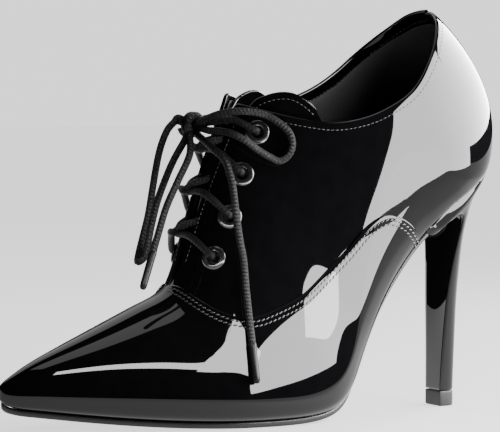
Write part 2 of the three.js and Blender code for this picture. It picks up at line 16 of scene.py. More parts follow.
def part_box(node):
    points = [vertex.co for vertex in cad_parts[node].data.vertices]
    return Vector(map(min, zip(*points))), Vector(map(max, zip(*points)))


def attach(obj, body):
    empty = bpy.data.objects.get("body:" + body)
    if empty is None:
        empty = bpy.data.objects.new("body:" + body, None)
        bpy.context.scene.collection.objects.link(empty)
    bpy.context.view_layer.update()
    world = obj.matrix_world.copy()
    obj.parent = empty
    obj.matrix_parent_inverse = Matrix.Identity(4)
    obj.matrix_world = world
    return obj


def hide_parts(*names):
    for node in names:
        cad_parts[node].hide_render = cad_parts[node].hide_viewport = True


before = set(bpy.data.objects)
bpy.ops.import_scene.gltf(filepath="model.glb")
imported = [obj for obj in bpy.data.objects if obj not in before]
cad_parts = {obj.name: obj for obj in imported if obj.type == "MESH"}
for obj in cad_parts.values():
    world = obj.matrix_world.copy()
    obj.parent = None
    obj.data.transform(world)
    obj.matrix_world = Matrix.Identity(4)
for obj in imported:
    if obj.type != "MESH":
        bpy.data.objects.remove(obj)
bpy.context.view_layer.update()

# %% [markdown]
# ## Working in the shoe's own millimetres
#
# A shoemaker measures from the toe, the middle line and the floor. The model's origin is at the
# middle of the shoe, so one vector, `HOME`, moves a point from the maker's measures to the model.
# It is read off the heel tip, which is at a known length from the toe.

# %% Sizes of the last and the shoe
MM = 0.001
LENGTH, BALL_WIDTH, HEEL_HEIGHT, TOP_HEIGHT, SEAT_WIDTH = 225.0, 76.0, 103.0, 170.0, 55.0
WALL, VAMP_STEP, OUTSOLE, INSOLE, PLATFORM, GAP = 1.8, 0.9, 2.7, 2.2, 8.0, 0.3
TIP_HEIGHT, TIP_WIDTH, TIP_DEPTH = 6.5, 12.0, 8.4
TIP_FRONT = LENGTH * 0.8865
LACE = 3.0

tip_low, tip_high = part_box("heel_tip")
HOME = np.array([tip_low.x / MM - TIP_FRONT, (tip_low.y + tip_high.y) / 2 / MM, 0.0])
print("the toe's origin lies at", HOME.round(2), "mm")


def place_in_model(points):
    """Points in the maker's millimetres, as metres in the model."""
    return (np.asarray(points, float).reshape(-1, 3) + HOME) * MM


# %% [markdown]
# ## The camera
#
# The photograph looks at the outer side from a little in front of the toe and a little above the
# floor, through a long lens that keeps the toe and the heel at nearly the same scale. A camera is
# placed by its position and by the line it looks along. The small shift puts the shoe where the
# photograph's frame has it without turning the camera.

# %% Camera
CAMERA_AT = np.array([-544.9, -1233.5, 171.6])
CAMERA_LOOK = Vector((0.4685, 0.8811, -0.0654))
FOCAL_PIXELS, FRAME_WIDTH, FRAME_HEIGHT = 3392.0, 500, 432
AXIS_PIXEL = (249.35, 224.04)

camera_data = bpy.data.cameras.new("camera")
camera_data.sensor_width = 36.0
camera_data.lens = FOCAL_PIXELS / FRAME_WIDTH * camera_data.sensor_width
camera_data.shift_x = (FRAME_WIDTH / 2 - AXIS_PIXEL[0]) / FRAME_WIDTH
camera_data.shift_y = (AXIS_PIXEL[1] - FRAME_HEIGHT / 2) / FRAME_WIDTH
camera_data.clip_end = 50.0
camera = bpy.data.objects.new("camera", camera_data)
camera.location = Vector(place_in_model(CAMERA_AT)[0])
camera.rotation_mode = "QUATERNION"
camera.rotation_quaternion = CAMERA_LOOK.to_track_quat("-Z", "Y")
bpy.context.scene.collection.objects.link(camera)
bpy.context.scene.camera = camera
print("lens", round(camera_data.lens, 1), "mm")

# %% [markdown]
# ## Meshes from grids
#
# Nearly every piece of a shoe is a sheet or a tube, so nearly every mesh here is a grid of points
# with quads between them. Working the points out with numpy and handing the whole grid to Blender
# at once is fast, and a fine grid shades smoothly without a subdivision modifier. Welding joins the
# rows that meet, and drops quads that have shrunk to nothing.

# %% Helpers for grids and pieces
def grid_faces(rows, columns, closed=False, first=0):
    """Quads of a grid whose points are listed row by row."""
    row = np.arange(rows - 1)[:, None] * columns
    column_now = np.arange(columns if closed else columns - 1)[None, :]
    column_next = (column_now + 1) % columns
    corners = [row + column_now, row + column_next]
    corners += [corner + columns for corner in corners[::-1]]
    return np.stack(np.broadcast_arrays(*corners), -1).reshape(-1, 4) + first


def make_piece(name, points, faces, uv=None, weld=0.0, outward=True):
    """A smooth mesh object from the maker's millimetres, with an optional UV for each point."""
    mesh = bpy.data.meshes.new(name)
    mesh.from_pydata(place_in_model(points).tolist(), [], [tuple(int(i) for i in face) for face in faces])
    if uv is not None:
        layer = mesh.uv_layers.new(name="UVMap")
        corner_points = np.zeros(len(mesh.loops), int)
        mesh.loops.foreach_get("vertex_index", corner_points)
        layer.data.foreach_set("uv", np.asarray(uv, np.float32).reshape(-1, 2)[corner_points].ravel())
    tidy = bmesh.new()
    tidy.from_mesh(mesh)
    if weld:
        bmesh.ops.remove_doubles(tidy, verts=tidy.verts, dist=weld * MM)
        bmesh.ops.dissolve_degenerate(tidy, edges=tidy.edges, dist=1e-7)
    if outward:
        bmesh.ops.recalc_face_normals(tidy, faces=tidy.faces)
    for face in tidy.faces:
        face.smooth = True
    tidy.to_mesh(mesh)
    tidy.free()
    made = bpy.data.objects.new(name, mesh)
    bpy.context.scene.collection.objects.link(made)
    return made


def fix_to_shoe(made, finish):
    """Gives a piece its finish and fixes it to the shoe."""
    made.data.materials.append(finish)
    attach(made, "root")
    return made


def unit(vectors):
    return vectors / np.maximum(np.linalg.norm(vectors, axis=-1, keepdims=True), 1e-9)


def run_along(line):
    """The length from the start of a line to each of its points."""
    return np.concatenate([[0], np.cumsum(np.linalg.norm(np.diff(line, axis=0), axis=1))])


def sampled(rows, along, wanted):
    """Rows of numbers, known at some lengths, at the wanted lengths."""
    return np.stack([np.interp(wanted, along, column) for column in rows.T], -1)


def blurred(padded, reach, width):
    """A light blur of a row of numbers that is padded by reach at both ends."""
    weights = np.exp(-0.5 * (np.arange(-reach, reach + 1) / width) ** 2)
    return np.convolve(padded, weights / weights.sum(), mode="valid")


# %% [markdown]
# ## Smooth lines through a few points
#
# A pattern cutter marks a few points and bends a spline through them. `through` does the same for
# rows of numbers: a curve that passes through each row and leaves it in the direction of its
# neighbours. The laces, the seams and the sections of the last are all drawn with it.

# %% A smooth curve through rows of numbers
def through(rows, share):
    """Smooth values through rows, at shares from 0, the first row, to 1, the last."""
    rows = np.asarray(rows, float)
    run = np.clip(share, 0, 1) * (len(rows) - 1)
    row = np.minimum(len(rows) - 2, np.floor(run)).astype(int)
    t = (run - row)[..., None]
    before, start, end, after = (rows[np.clip(row + k, 0, len(rows) - 1)] for k in (-1, 0, 1, 2))
    slope_in, slope_out = (end - before) / 2, (after - start) / 2
    cubic = 2 * (start - end) + slope_in + slope_out
    return start + t * (slope_in + t * (3 * (end - start) - 2 * slope_in - slope_out + t * cubic))


def even_line(rows, spacing):
    """Points at even distances along the smooth curve through rows."""
    fine = through(rows, np.linspace(0, 1, 60 * len(rows)))
    along = run_along(fine)
    wanted = np.linspace(0, along[-1], max(3, int(round(along[-1] / spacing)) + 1))
    return sampled(fine, along, wanted)


# %% [markdown]
# ## Cords
#
# A round lace is a tube that follows its middle line. A curve object with a bevel would do, but a
# mesh tube can carry a UV, and the braid of the lace needs one: `u` counts millimetres along the
# lace and `v` goes once round it. The frame that carries the ring is turned as little as possible
# from each step to the next, so the braid doesn't twist.

# %% A tube along a line
def tube_points(line, radius, sides):
    """Rings round a line, the length at each ring, and each ring's two directions."""
    line = np.asarray(line, float)
    tangent = unit(np.gradient(line, axis=0))
    guide = np.array([0.0, 0.0, 1.0]) if abs(tangent[0][2]) < 0.9 else np.array([1.0, 0.0, 0.0])
    across = [unit(np.cross(tangent[0], guide))]
    for step in tangent[1:]:
        across.append(unit(across[-1] - step * (across[-1] @ step)))
    across = np.array(across)
    upward = np.cross(tangent, across)
    turn = np.linspace(0, 2 * np.pi, sides, endpoint=False)
    radius = np.broadcast_to(np.asarray(radius, float), len(line))
    ring = across[:, None] * np.cos(turn)[:, None] + upward[:, None] * np.sin(turn)[:, None]
    along = run_along(line)
    return line[:, None] + ring * radius[:, None, None], along, turn


TUBE_SIDES = 20


def make_tube(name, line, radius):
    """A closed tube with flat, capped ends, whose UV is millimetres along and turns round."""
    sides = TUBE_SIDES
    rings, along, turn = tube_points(line, radius, sides)
    count = len(rings)
    points = np.concatenate([rings.reshape(-1, 3), line[:1], line[-1:]])
    faces = grid_faces(count, sides, closed=True).tolist()
    for k in range(sides):
        following = (k + 1) % sides
        faces.append((sides * count, following, k))
        faces.append((sides * count + 1, sides * (count - 1) + k, sides * (count - 1) + following))
    u = np.repeat(along, sides)
    v = np.tile(turn / (2 * np.pi), count)
    uv = np.stack([np.append(u, [0, along[-1]]), np.append(v, [0.5, 0.5])], -1)
    made = make_piece(name, points, faces, uv=uv)
    return mend_seam(made)


def mend_seam(made):
    """Where the UV closes round a tube, its last column ends at 1 and not back at 0."""
    layer = made.data.uv_layers["UVMap"].data
    for face in made.data.polygons:
        corners = [layer[i] for i in face.loop_indices]
        if max(c.uv.y for c in corners) - min(c.uv.y for c in corners) > 0.5:
            for corner in corners:
                if corner.uv.y < 0.25:
                    corner.uv.y += 1.0
    return made


# %% [markdown]
# ## The free parts of the lace
#
# The bow has two loops and two ends, and each end is held together by a stiff tip, the aglet. They
# are cords of a known length, and their middle lines repeat the routes of the construction model
# point for point.

# %% Bow, ends and aglets
LOOP_OUTER = [
    (86.0, -6.2, 123.4), (91.0, -11.8, 126.2), (97.4, -15.4, 127.2), (103.6, -16.8, 126.8),
    (109.4, -17.8, 125.4), (114.0, -19.4, 122.6), (117.7, -20.6, 119.3), (119.2, -21.4, 115.6),
    (118.9, -21.8, 111.6), (116.6, -21.6, 108.3), (113.2, -21.2, 107.0), (108.7, -21.0, 108.9),
    (103.1, -21.2, 112.0), (97.2, -21.0, 116.0), (91.8, -18.0, 118.8), (87.6, -10.6, 119.4),
]
LOOP_INNER = [
    (78.6, 3.0, 123.2), (75.0, 3.2, 119.6), (71.6, 2.6, 113.0), (69.2, 2.0, 105.0), (66.8, 1.0, 95.0),
    (64.4, 0.0, 85.0), (60.8, -1.6, 75.0), (58.2, -3.2, 68.4), (57.6, -4.8, 66.6), (60.2, -6.0, 69.6),
    (62.4, -6.4, 80.0), (65.2, -6.2, 90.0), (69.2, -5.4, 99.0), (73.6, -4.4, 107.0), (78.4, -3.4, 113.8),
]
END_INNER = [
    (81.4, -3.8, 117.2), (79.0, -8.6, 109.8), (72.6, -11.0, 99.6), (66.6, -12.2, 89.0),
    (62.6, -13.0, 78.6), (59.6, -13.8, 70.6),
]
END_OUTER = [
    (85.4, -5.0, 116.8), (87.8, -12.4, 112.0), (90.4, -17.4, 107.6), (91.4, -20.0, 102.0),
    (91.9, -22.0, 95.7), (91.9, -24.6, 85.6), (93.0, -25.6, 75.6), (94.4, -26.2, 67.4),
    (93.9, -29.4, 55.4), (93.5, -33.0, 43.8), (93.2, -36.2, 33.6),
]
KNOT_CENTRE = np.array([84.6, 0.5, 121.5])
AGLET = 15.0
BRAID_STEP = 0.6


def length_of(line):
    return float(np.linalg.norm(np.diff(line, axis=0), axis=1).sum()) * MM


def free_cord(name, route, node):
    """One cord that replaces its plain solid."""
    line = even_line(route, BRAID_STEP)
    made = make_tube(name, line, LACE / 2)
    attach(made, "root")
    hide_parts(node)
    print(name, round(length_of(line) * 1000), "mm of lace")
    return made


def make_aglet(name, route, node):
    """A thin stiff sleeve in line with the last stretch of a lace, narrowing towards its far end."""
    before, last = np.array(route[-2]), np.array(route[-1])
    along = unit(last - before)
    stations = np.array([-1.2, -1.0, 0.0, 1.0, 3.0, 8.0, 12.5, 14.0, 14.7, AGLET])
    radii = np.array([1.52, 1.62, 1.66, 1.60, 1.56, 1.54, 1.50, 1.38, 1.10, 0.70])
    made = make_tube(name, last + along * (stations[:, None] + GAP), radii)
    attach(made, "root")
    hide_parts(node)
    return made


aglet_outer = make_aglet("lace_tip_outer", END_OUTER, "aglet_outer")
aglet_inner = make_aglet("lace_tip_inner", END_INNER, "aglet_inner")
bow_cords = [
    free_cord("bow_loop_outer", LOOP_OUTER, "lace_loop_outer"),
    free_cord("bow_loop_inner", LOOP_INNER, "lace_loop_inner"),
    free_cord("lace_tail_outer", END_OUTER, "lace_end_outer"),
    free_cord("lace_tail_inner", END_INNER, "lace_end_inner"),
]

# %% [markdown]
# The knot is two turns of the same cord round the middle of the bow. Its line winds round an axis
# across the shoe while it steps sideways, so that the turns lie beside each other. A short lead joins
# the knot to each loop and each end.

# %% Knot
KNOT_OUT = unit(np.array([-0.93, 0.0, 0.37]))
KNOT_UP = unit(np.array([0.37, 0.0, 0.93]))
KNOT_ACROSS = np.array([0.0, 1.0, 0.0])
KNOT_DEPTH, KNOT_HEIGHT, KNOT_STEP = 3.1, 4.0, 3.4
KNOT_START, KNOT_MIDDLE, KNOT_STOP = -0.2, 0.85, 1.9
KNOT_HEART = [(86.5, -5.6, 122.6), (84.9, -2.0, 120.9), (83.2, 1.4, 121.8), (79.6, 3.0, 123.0)]
LEAD_BEHIND, LEAD_AHEAD = 1.6, 0.9

wind = np.linspace(KNOT_START, KNOT_STOP, 90)
knot_line = (
    KNOT_CENTRE
    + KNOT_OUT * (KNOT_DEPTH * np.cos(2 * np.pi * wind))[:, None]
    + KNOT_UP * (KNOT_HEIGHT * np.sin(2 * np.pi * wind))[:, None]
    + KNOT_ACROSS * (KNOT_STEP * (wind - KNOT_MIDDLE))[:, None]
)
knot = make_tube("bow_knot", knot_line, LACE / 2)
knot_heart = make_tube("bow_knot_heart", even_line(KNOT_HEART, BRAID_STEP), LACE / 2)
knot_heart.parent = knot
knot_leads = []
for route in (LOOP_OUTER, LOOP_OUTER[::-1], LOOP_INNER, LOOP_INNER[::-1], END_INNER, END_OUTER):
    end, ahead = np.array(route[0]), unit(np.array(route[1]) - np.array(route[0]))
    points = [KNOT_CENTRE + (end - KNOT_CENTRE) * 0.2, end - ahead * LEAD_BEHIND, end + ahead * LEAD_AHEAD]
    lead = make_tube(f"bow_knot_lead_{len(knot_leads) + 1}", even_line(points, BRAID_STEP), LACE / 2)
    lead.parent = knot
    knot_leads.append(lead)
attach(knot, "root")
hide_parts("lace_knot")
print("knot", len(knot.data.polygons), "faces")

# %% [markdown]
# ## The last
#
# A shoe is built round a last, the wooden foot. Its sections are listed from the toe to the start of
# the heel's round back, in shares of the shoe's main sizes: how high the feather edge (where leather
# meets sole) lifts, how the section leans, how tall and how wide it is, and how full its side is.
# The numbers are the same as in the construction model. The values are smoothed a little on their
# way from row to row, because a mirror finish shows every change of curvature.

# %% The last's sections
COLUMNS = ("at", "lift", "lean", "tall", "belly", "foot",
           "outer", "inner", "wall", "shoulder", "peak", "swing")
SECTIONS = np.array([
    (0.000, 0.095, 0, 0.032, 0.014, 0.000, 0.000, 0.000, 0.50, 0.60, 1.00, 0.033),
    (0.009, 0.076, 0, 0.054, 0.023, 0.016, 0.038, 0.038, 0.42, 0.60, 1.00, 0.033),
    (0.029, 0.063, 0, 0.078, 0.029, 0.040, 0.077, 0.074, 0.36, 0.60, 1.00, 0.032),
    (0.062, 0.054, 0, 0.109, 0.034, 0.080, 0.132, 0.125, 0.30, 0.60, 1.00, 0.029),
    (0.133, 0.035, 1, 0.162, 0.041, 0.160, 0.230, 0.217, 0.28, 0.58, 1.00, 0.024),
    (0.213, 0.018, 4, 0.215, 0.047, 0.257, 0.330, 0.316, 0.25, 0.57, 0.99, 0.016),
    (0.302, 0.005, 8, 0.269, 0.050, 0.350, 0.425, 0.408, 0.22, 0.55, 0.98, 0.008),
    (0.391, 0.000, 14, 0.319, 0.050, 0.430, 0.495, 0.480, 0.20, 0.54, 0.98, 0.000),
    (0.471, 0.000, 17, 0.476, 0.050, 0.445, 0.510, 0.495, 0.16, 0.56, 1.00, 0.000),
    (0.538, 0.004, 19, 0.596, 0.053, 0.432, 0.500, 0.482, 0.14, 0.56, 1.00, 0.000),
    (0.596, 0.026, 21, 0.679, 0.065, 0.400, 0.470, 0.452, 0.16, 0.56, 1.00, 0.000),
    (0.640, 0.086, 23, 0.720, 0.082, 0.325, 0.425, 0.402, 0.20, 0.58, 1.00, 0.000),
    (0.678, 0.226, 25, 0.732, 0.100, 0.250, 0.375, 0.350, 0.24, 0.60, 1.00, 0.000),
    (0.716, 0.394, 26, 0.749, 0.112, 0.225, 0.358, 0.340, 0.30, 0.64, 1.00, 0.000),
    (0.756, 0.556, 26, 0.782, 0.118, 0.240, 0.352, 0.342, 0.36, 0.68, 1.00, 0.000),
    (0.800, 0.698, 25, 0.800, 0.120, 0.270, 0.356, 0.352, 0.40, 0.70, 1.00, 0.000),
    (0.835, 0.774, 24, 0.812, 0.120, 0.295, 0.362, 0.360, 0.42, 0.74, 1.00, 0.000),
    (0.871, 0.846, 23, 0.812, 0.120, 0.305, 0.364, 0.364, 0.42, 0.76, 1.00, 0.000),
])
TREAD_RISE = OUTSOLE + GAP
BACK_REACH, BACK_CLIMB, BACK_LEAN = LENGTH * 0.116, HEEL_HEIGHT * 0.150, 21.5
COUNTER_BULGE, COUNTER_TALL = 13.0, TOP_HEIGHT * 0.40
SEAT_BLEND, TURN_SHARE = 0.75, 0.3
FINE = 1400
SMOOTH = 0.020


def smoothed(values, at_start, at_end):
    """A light blur along the last, which keeps the values at both ends."""
    reach = int(3 * SMOOTH / 2 * FINE)
    padded = np.concatenate([
        np.pad(values, (reach, 0), mode="reflect", reflect_type=at_start),
        np.pad(values, (0, reach), mode="reflect", reflect_type=at_end)[len(values):],
    ])
    return blurred(padded, reach, SMOOTH / 2 * FINE)


def last_sizes():
    """Every size of a section at fine steps of place: 0 to 1 along the table, 1 to 2 round the back."""
    place = np.linspace(0, 2, FINE + 1)
    row = dict(zip(COLUMNS, through(SECTIONS, place).T))
    back = np.clip(place - 1, 0, 1) * np.pi / 2
    seat = (SECTIONS[-1][6] + SECTIONS[-1][7]) * BALL_WIDTH
    widen = 1 + (SEAT_WIDTH / seat - 1) * np.clip((place - SEAT_BLEND) / (1 - SEAT_BLEND), 0, 1)
    round_back = np.cos(back)
    sizes = {
        "x": smoothed(row["at"] * LENGTH + BACK_REACH * np.sin(back), "odd", "even"),
        "z": smoothed(
            TREAD_RISE + row["lift"] * (HEEL_HEIGHT - TREAD_RISE) + BACK_CLIMB * np.sin(back), "odd", "even"),
        "lean": smoothed(np.radians(row["lean"] + (BACK_LEAN - row["lean"]) * np.sin(back)), "even", "even"),
        "bulge": COUNTER_BULGE * np.sin(back) ** 2,
    }
    for key, size in (("tall", TOP_HEIGHT), ("belly", TOP_HEIGHT), ("wall", 1), ("shoulder", 1), ("peak", 1),
                      ("swing", BALL_WIDTH)):
        sizes[key] = smoothed(row[key] * size, "odd", "even")
    for key in ("foot", "outer", "inner"):
        sizes[key] = smoothed(row[key] * BALL_WIDTH * widen, "odd", "even") * round_back
    return place, sizes


FINE_PLACE, SIZES = last_sizes()


def section(place):
    """The sizes of the section at each place."""
    return {key: np.interp(place, FINE_PLACE, values) for key, values in SIZES.items()}


print("feather edge lifts from", SIZES["z"].min().round(2), "to", SIZES["z"].max().round(1), "mm")

# %% [markdown]
# From the sections comes one function for the whole skin of the last. `side` is -1 on the outer
# side and 1 on the inner side. `t` runs from 0 at the feather edge, round the belly at 0.3, up to 1
# on the ridge of the instep. Every leather piece is a region of this skin, moved out or in by its
# own thickness, which is how real pieces lie over a last.

# %% The last's skin
NORMAL_STEP = 0.004


def last_skin(place, side, t):
    place, side, t = np.broadcast_arrays(place, side, t)
    s = section(place)
    wide = np.where(side < 0, s["outer"], s["inner"])
    turn = np.clip(t / TURN_SHARE, 0, 1) * np.pi / 2
    r = np.clip((t - TURN_SHARE) / (1 - TURN_SHARE), 0, 1)
    q = 1 - r
    upright = q ** 3 * wide + 3 * q * q * r * wide + 3 * q * r * r * wide * s["shoulder"]
    height = 3 * q * q * r * s["wall"] + 3 * q * r * r * s["peak"] + r ** 3
    below = t < TURN_SHARE
    y = np.where(below, s["foot"] + (wide - s["foot"]) * np.sin(turn), upright)
    up = np.where(below, s["belly"] * (1 - np.cos(turn)), s["belly"] + (s["tall"] - s["belly"]) * height)
    bulge = s["bulge"] * np.sin(np.pi * np.clip(up / COUNTER_TALL, 0, 1)) ** 0.75
    return np.stack([
        s["x"] - up * np.sin(s["lean"]) + bulge,
        side * y + s["swing"],
        s["z"] + up * np.cos(s["lean"]),
    ], -1)


def skin_normal(place, side, t):
    step = NORMAL_STEP
    place, side, t = np.broadcast_arrays(np.asarray(place, float), side, np.asarray(t, float))
    along = last_skin(np.minimum(2, place + step), side, t) - last_skin(np.maximum(0, place - step), side, t)
    around = last_skin(place, side, np.minimum(1, t + step)) - last_skin(place, side, np.maximum(0, t - step))
    normal = np.cross(along, around) * -side[..., None]
    middle = (t > 1 - step) | (place < step) | (place > 2 - step)
    normal[..., 1] = np.where(middle, 0, normal[..., 1])
    return unit(normal)


def over_skin(place, side, t, height):
    """Points at a height over the skin, in millimetres."""
    return last_skin(place, side, t) + skin_normal(place, side, t) * np.asarray(height)[..., None]


print("the last is", LENGTH, "mm long; its back reaches", last_skin(2.0, -1, 1.0)[2].round(1), "mm")

# %% [markdown]
# ## Finishes as expressions
#
# A Blender material is a graph of nodes. Graphs are long to wire by hand, so one small class wraps a
# socket and lets it be added, multiplied and compared like a number: each operator adds its Math
# node. Colours go through Mix nodes, because a Math node would turn them grey. Everything else
# comes from `node`, which sets a node's choices first and its sockets after.

# %% Shader values and nodes
class Value:
    """A socket that can be used in an expression."""

    def __init__(self, finish, socket):
        self.finish, self.socket = finish, socket

    def math(self, operation, first, second=None):
        given = [first] if second is None else [first, second]
        return self.finish.node("ShaderNodeMath", {"operation": operation}, *given)

    def __add__(self, other):
        return self.math("ADD", self, other)

    def __sub__(self, other):
        return self.math("SUBTRACT", self, other)

    def __rsub__(self, other):
        return self.math("SUBTRACT", other, self)

    def __mul__(self, other):
        return self.math("MULTIPLY", self, other)

    def __truediv__(self, other):
        return self.math("DIVIDE", self, other)

    def __gt__(self, other):
        return self.math("GREATER_THAN", self, other)

    __radd__ = __add__
    __rmul__ = __mul__

    def wave(self):
        """The sine of a value in turns."""
        return self.math("SINE", self * (2 * np.pi))

    def size(self):
        return self.math("ABSOLUTE", self)


class Finish:
    """A material built from expressions, with the sockets of one Principled shader."""

    def __init__(self, name, **constants):
        self.material = bpy.data.materials.new(name)
        self.material.use_nodes = True
        self.tree = self.material.node_tree
        self.shader = self.tree.nodes["Principled BSDF"]
        for socket, value in constants.items():
            self.shader.inputs[socket.replace("_", " ")].default_value = value

    def node(self, kind, settings=None, *inputs, output=0, **named):
        made = self.tree.nodes.new(kind)
        for key, value in (settings or {}).items():
            setattr(made, key, value)
        wanted = [(made.inputs[i], value) for i, value in enumerate(inputs)]
        wanted += [(made.inputs[key.replace("_", " ")], value) for key, value in named.items()]
        for socket, value in wanted:
            self.feed(socket, value)
        return Value(self, made.outputs[output])

    def feed(self, socket, value):
        if isinstance(value, Value):
            self.tree.links.new(value.socket, socket)
        elif value is not None:
            socket.default_value = value

    def places(self):
        """A point's place on the shoe, in metres."""
        return self.node("ShaderNodeTexCoord", output="Object")

    def uv(self):
        """The two numbers of the UV: millimetres along, and the second direction."""
        at = self.node("ShaderNodeTexCoord", output="UV")
        return [self.node("ShaderNodeSeparateXYZ", None, at, output=k) for k in (0, 1)]

    def noise(self, scale, detail=3.0, roughness=0.5):
        """Noise with features of about 1/scale metres."""
        return self.node("ShaderNodeTexNoise", None, Vector=self.places(), Scale=scale, Detail=detail,
                         Roughness=roughness)

    def blend(self, factor, low, high):
        """A colour between two colours."""
        made = self.tree.nodes.new("ShaderNodeMix")
        made.data_type = "RGBA"
        for index, value in ((0, factor), (6, (*low, 1)), (7, (*high, 1))):
            self.feed(made.inputs[index], value)
        return Value(self, made.outputs[2])

    def surface(self, colour=None, roughness=None, height=None, distance=0.0001):
        """Links what varies: colour, roughness and a bump whose height is in shares of distance."""
        self.feed(self.shader.inputs["Base Color"], colour)
        self.feed(self.shader.inputs["Roughness"], roughness)
        if height is not None:
            bump = self.node("ShaderNodeBump", None, Strength=1.0, Distance=distance, Height=height)
            self.feed(self.shader.inputs["Normal"], bump)
        print("finish", self.material.name, "has", len(self.tree.nodes), "nodes")
        return self.material


# %% [markdown]
# ## The finishes of the shoe
#
# Patent leather is leather under a thick clear lacquer: nearly black, nearly a mirror, with a very
# shallow swell where the skin beneath isn't flat. The swell is what makes long reflections look soft
# at their edges. The lining and the sock are plain leather with a fine grain. The outsole and the
# heel tip are rubber. The lace is a waxed braid, drawn from its UV: two families of strands wind
# round the cord against each other and pass over and under in turn. Its colour has painted shade in
# the grooves between the strands, so their crests look lighter.

# %% Patent leather
PATENT_BLACK = (0.0007, 0.0007, 0.0008)


def times(colour, factor):
    return tuple(factor * part for part in colour)


def patent_leather(name):
    patent = Finish(name, Coat_Weight=1.0, Coat_Roughness=0.02, Coat_IOR=1.38, Specular_IOR_Level=0.0)
    swell = patent.noise(55.0, 2.0, 0.4)
    orange_peel = patent.noise(900.0, 2.0, 0.5)
    cloud = patent.noise(160.0, 3.0, 0.5)
    return patent.surface(
        colour=patent.blend(cloud, PATENT_BLACK, times(PATENT_BLACK, 2.2)),
        roughness=0.25 + 0.1 * cloud,
        height=swell + 0.02 * orange_peel,
        distance=0.00005,
    )


PATENT = patent_leather("patent_leather")

# %% Lining leather, rubber and enamel
def grained_leather(name, dark, light, grain, roughness):
    leather = Finish(name, Specular_IOR_Level=0.35)
    cells = leather.node("ShaderNodeTexVoronoi", {"feature": "F1"}, Vector=leather.places(), Scale=grain)
    tone = leather.noise(70.0, 4.0, 0.6)
    return leather.surface(
        colour=leather.blend(tone, dark, light),
        roughness=roughness + 0.18 * tone,
        height=cells + 0.5 * leather.noise(grain * 2.2, 2.0),
        distance=0.00012,
    )


LINING = grained_leather("lining_leather", (0.012, 0.012, 0.013), (0.022, 0.022, 0.024), 1400.0, 0.5)
SOCK = grained_leather("sock_leather", (0.010, 0.010, 0.011), (0.018, 0.018, 0.019), 1000.0, 0.42)


def moulded(name, colour, roughness, depth, **constants):
    stuff = Finish(name, **constants)
    speck = stuff.noise(1800.0, 3.0, 0.6)
    scuff = stuff.noise(60.0, 4.0, 0.65)
    return stuff.surface(
        colour=stuff.blend(scuff, colour, times(colour, 1.7)),
        roughness=roughness + 0.2 * scuff,
        height=speck,
        distance=depth,
    )


OUTSOLE_RUBBER = moulded("outsole_rubber", (0.004, 0.004, 0.0045), 0.34, 0.00006, Specular_IOR_Level=0.4)
TIP_RUBBER = moulded("heel_tip_rubber", (0.006, 0.006, 0.0065), 0.42, 0.00008, Specular_IOR_Level=0.4)
ENAMEL = moulded("black_enamel", (0.004, 0.004, 0.0045), 0.12, 0.00001, Coat_Weight=0.8, Coat_Roughness=0.04)
THREAD = moulded("sewing_thread", (0.002, 0.002, 0.002), 0.2, 0.00004)

# %% Waxed braid
STRANDS_ROUND, BRAID_PITCH = 7.0, 3.0


def waxed_braid():
    cord = Finish("waxed_braid", Specular_IOR_Level=0.16)
    along, round_cord = cord.uv()
    winding, advance = round_cord * STRANDS_ROUND, along * (1 / BRAID_PITCH)
    right, left = (winding + advance).wave(), (winding - advance).wave()
    over = right * left > 0.0
    strand = over * right.size() + (1 - over) * left.size()
    wax = cord.noise(500.0, 4.0, 0.65)
    # The colour follows the strands' height: painted shade darkens the grooves between the strands, so their
    # crests look lighter.
    return cord.surface(
        colour=cord.blend(strand, (0.0006, 0.0006, 0.0007), (0.0025, 0.0025, 0.0028)),
        roughness=0.3 + 0.3 * wax,
        height=strand + 0.25 * wax,
        distance=0.0002,
    )


BRAID = waxed_braid()
for cord_piece in [*bow_cords, knot, knot_heart, *knot_leads]:
    cord_piece.data.materials.append(BRAID)
TIP_FILM = moulded("lace_tip_film", (0.003, 0.003, 0.003), 0.22, 0.00001, Specular_IOR_Level=0.12)
for tip in (aglet_outer, aglet_inner):
    tip.data.materials.append(TIP_FILM)

# %% [markdown]
# ## Edges of the pieces
#
# The collar, the vamp's seam and the tongue are drawn on the side view, the throat on the front view.
# To cut a piece on the last, each section is followed upwards until it leaves the region. A grid
# whose rows run between such limits has its edge exactly on the line, so the edge can be rolled,
# stitched and lit cleanly, which a boolean cut through a mesh wouldn't allow.

# %% Lines of the pattern
COLLAR_OUTER = [(0.430, 0.770), (0.505, 0.740), (0.565, 0.722), (0.618, 0.714), (0.672, 0.724),
                (0.722, 0.748), (0.775, 0.792), (0.820, 0.870), (0.860, 0.962), (0.892, 1.000)]
COLLAR_INNER = [(0.430, 0.800), (0.505, 0.768), (0.565, 0.756), (0.622, 0.765), (0.680, 0.790),
                (0.732, 0.828), (0.790, 0.888), (0.830, 0.934), (0.864, 0.978), (0.892, 1.000)]
VAMP_EDGE = [(0.270, 0.500), (0.312, 0.372), (0.330, 0.332), (0.352, 0.296), (0.384, 0.268),
             (0.425, 0.258), (0.475, 0.276), (0.540, 0.314), (0.620, 0.396), (0.672, 0.462), (0.715, 0.490),
             (0.755, 0.476), (0.790, 0.438), (0.830, 0.370)]
TONGUE_EDGE = [(0.300, 0.300), (0.300, 0.700), (0.440, 0.735), (0.484, 0.778), (0.535, 0.790),
               (0.580, 0.755), (0.595, 0.715), (0.570, 0.640), (0.520, 0.520), (0.465, 0.400), (0.430, 0.300)]
THROAT = np.array([(0.322, -0.3, 0.3), (0.40, -2.8, 3.0), (0.52, -4.6, 5.0), (0.66, -6.2, 6.8),
                   (0.80, -7.6, 8.6), (1.60, -13.0, 14.0)])
THROAT_BACK = 0.62
SIDE_VIEW = np.array([LENGTH, TOP_HEIGHT])
FAR = 99.0
EDGE_BLUR = 1.5


def drawn(points):
    return through(points, np.linspace(0, 1, 500)) * SIDE_VIEW


COLLAR = {-1: drawn(COLLAR_OUTER), 1: drawn(COLLAR_INNER)}
VAMP_LINE = drawn(VAMP_EDGE)


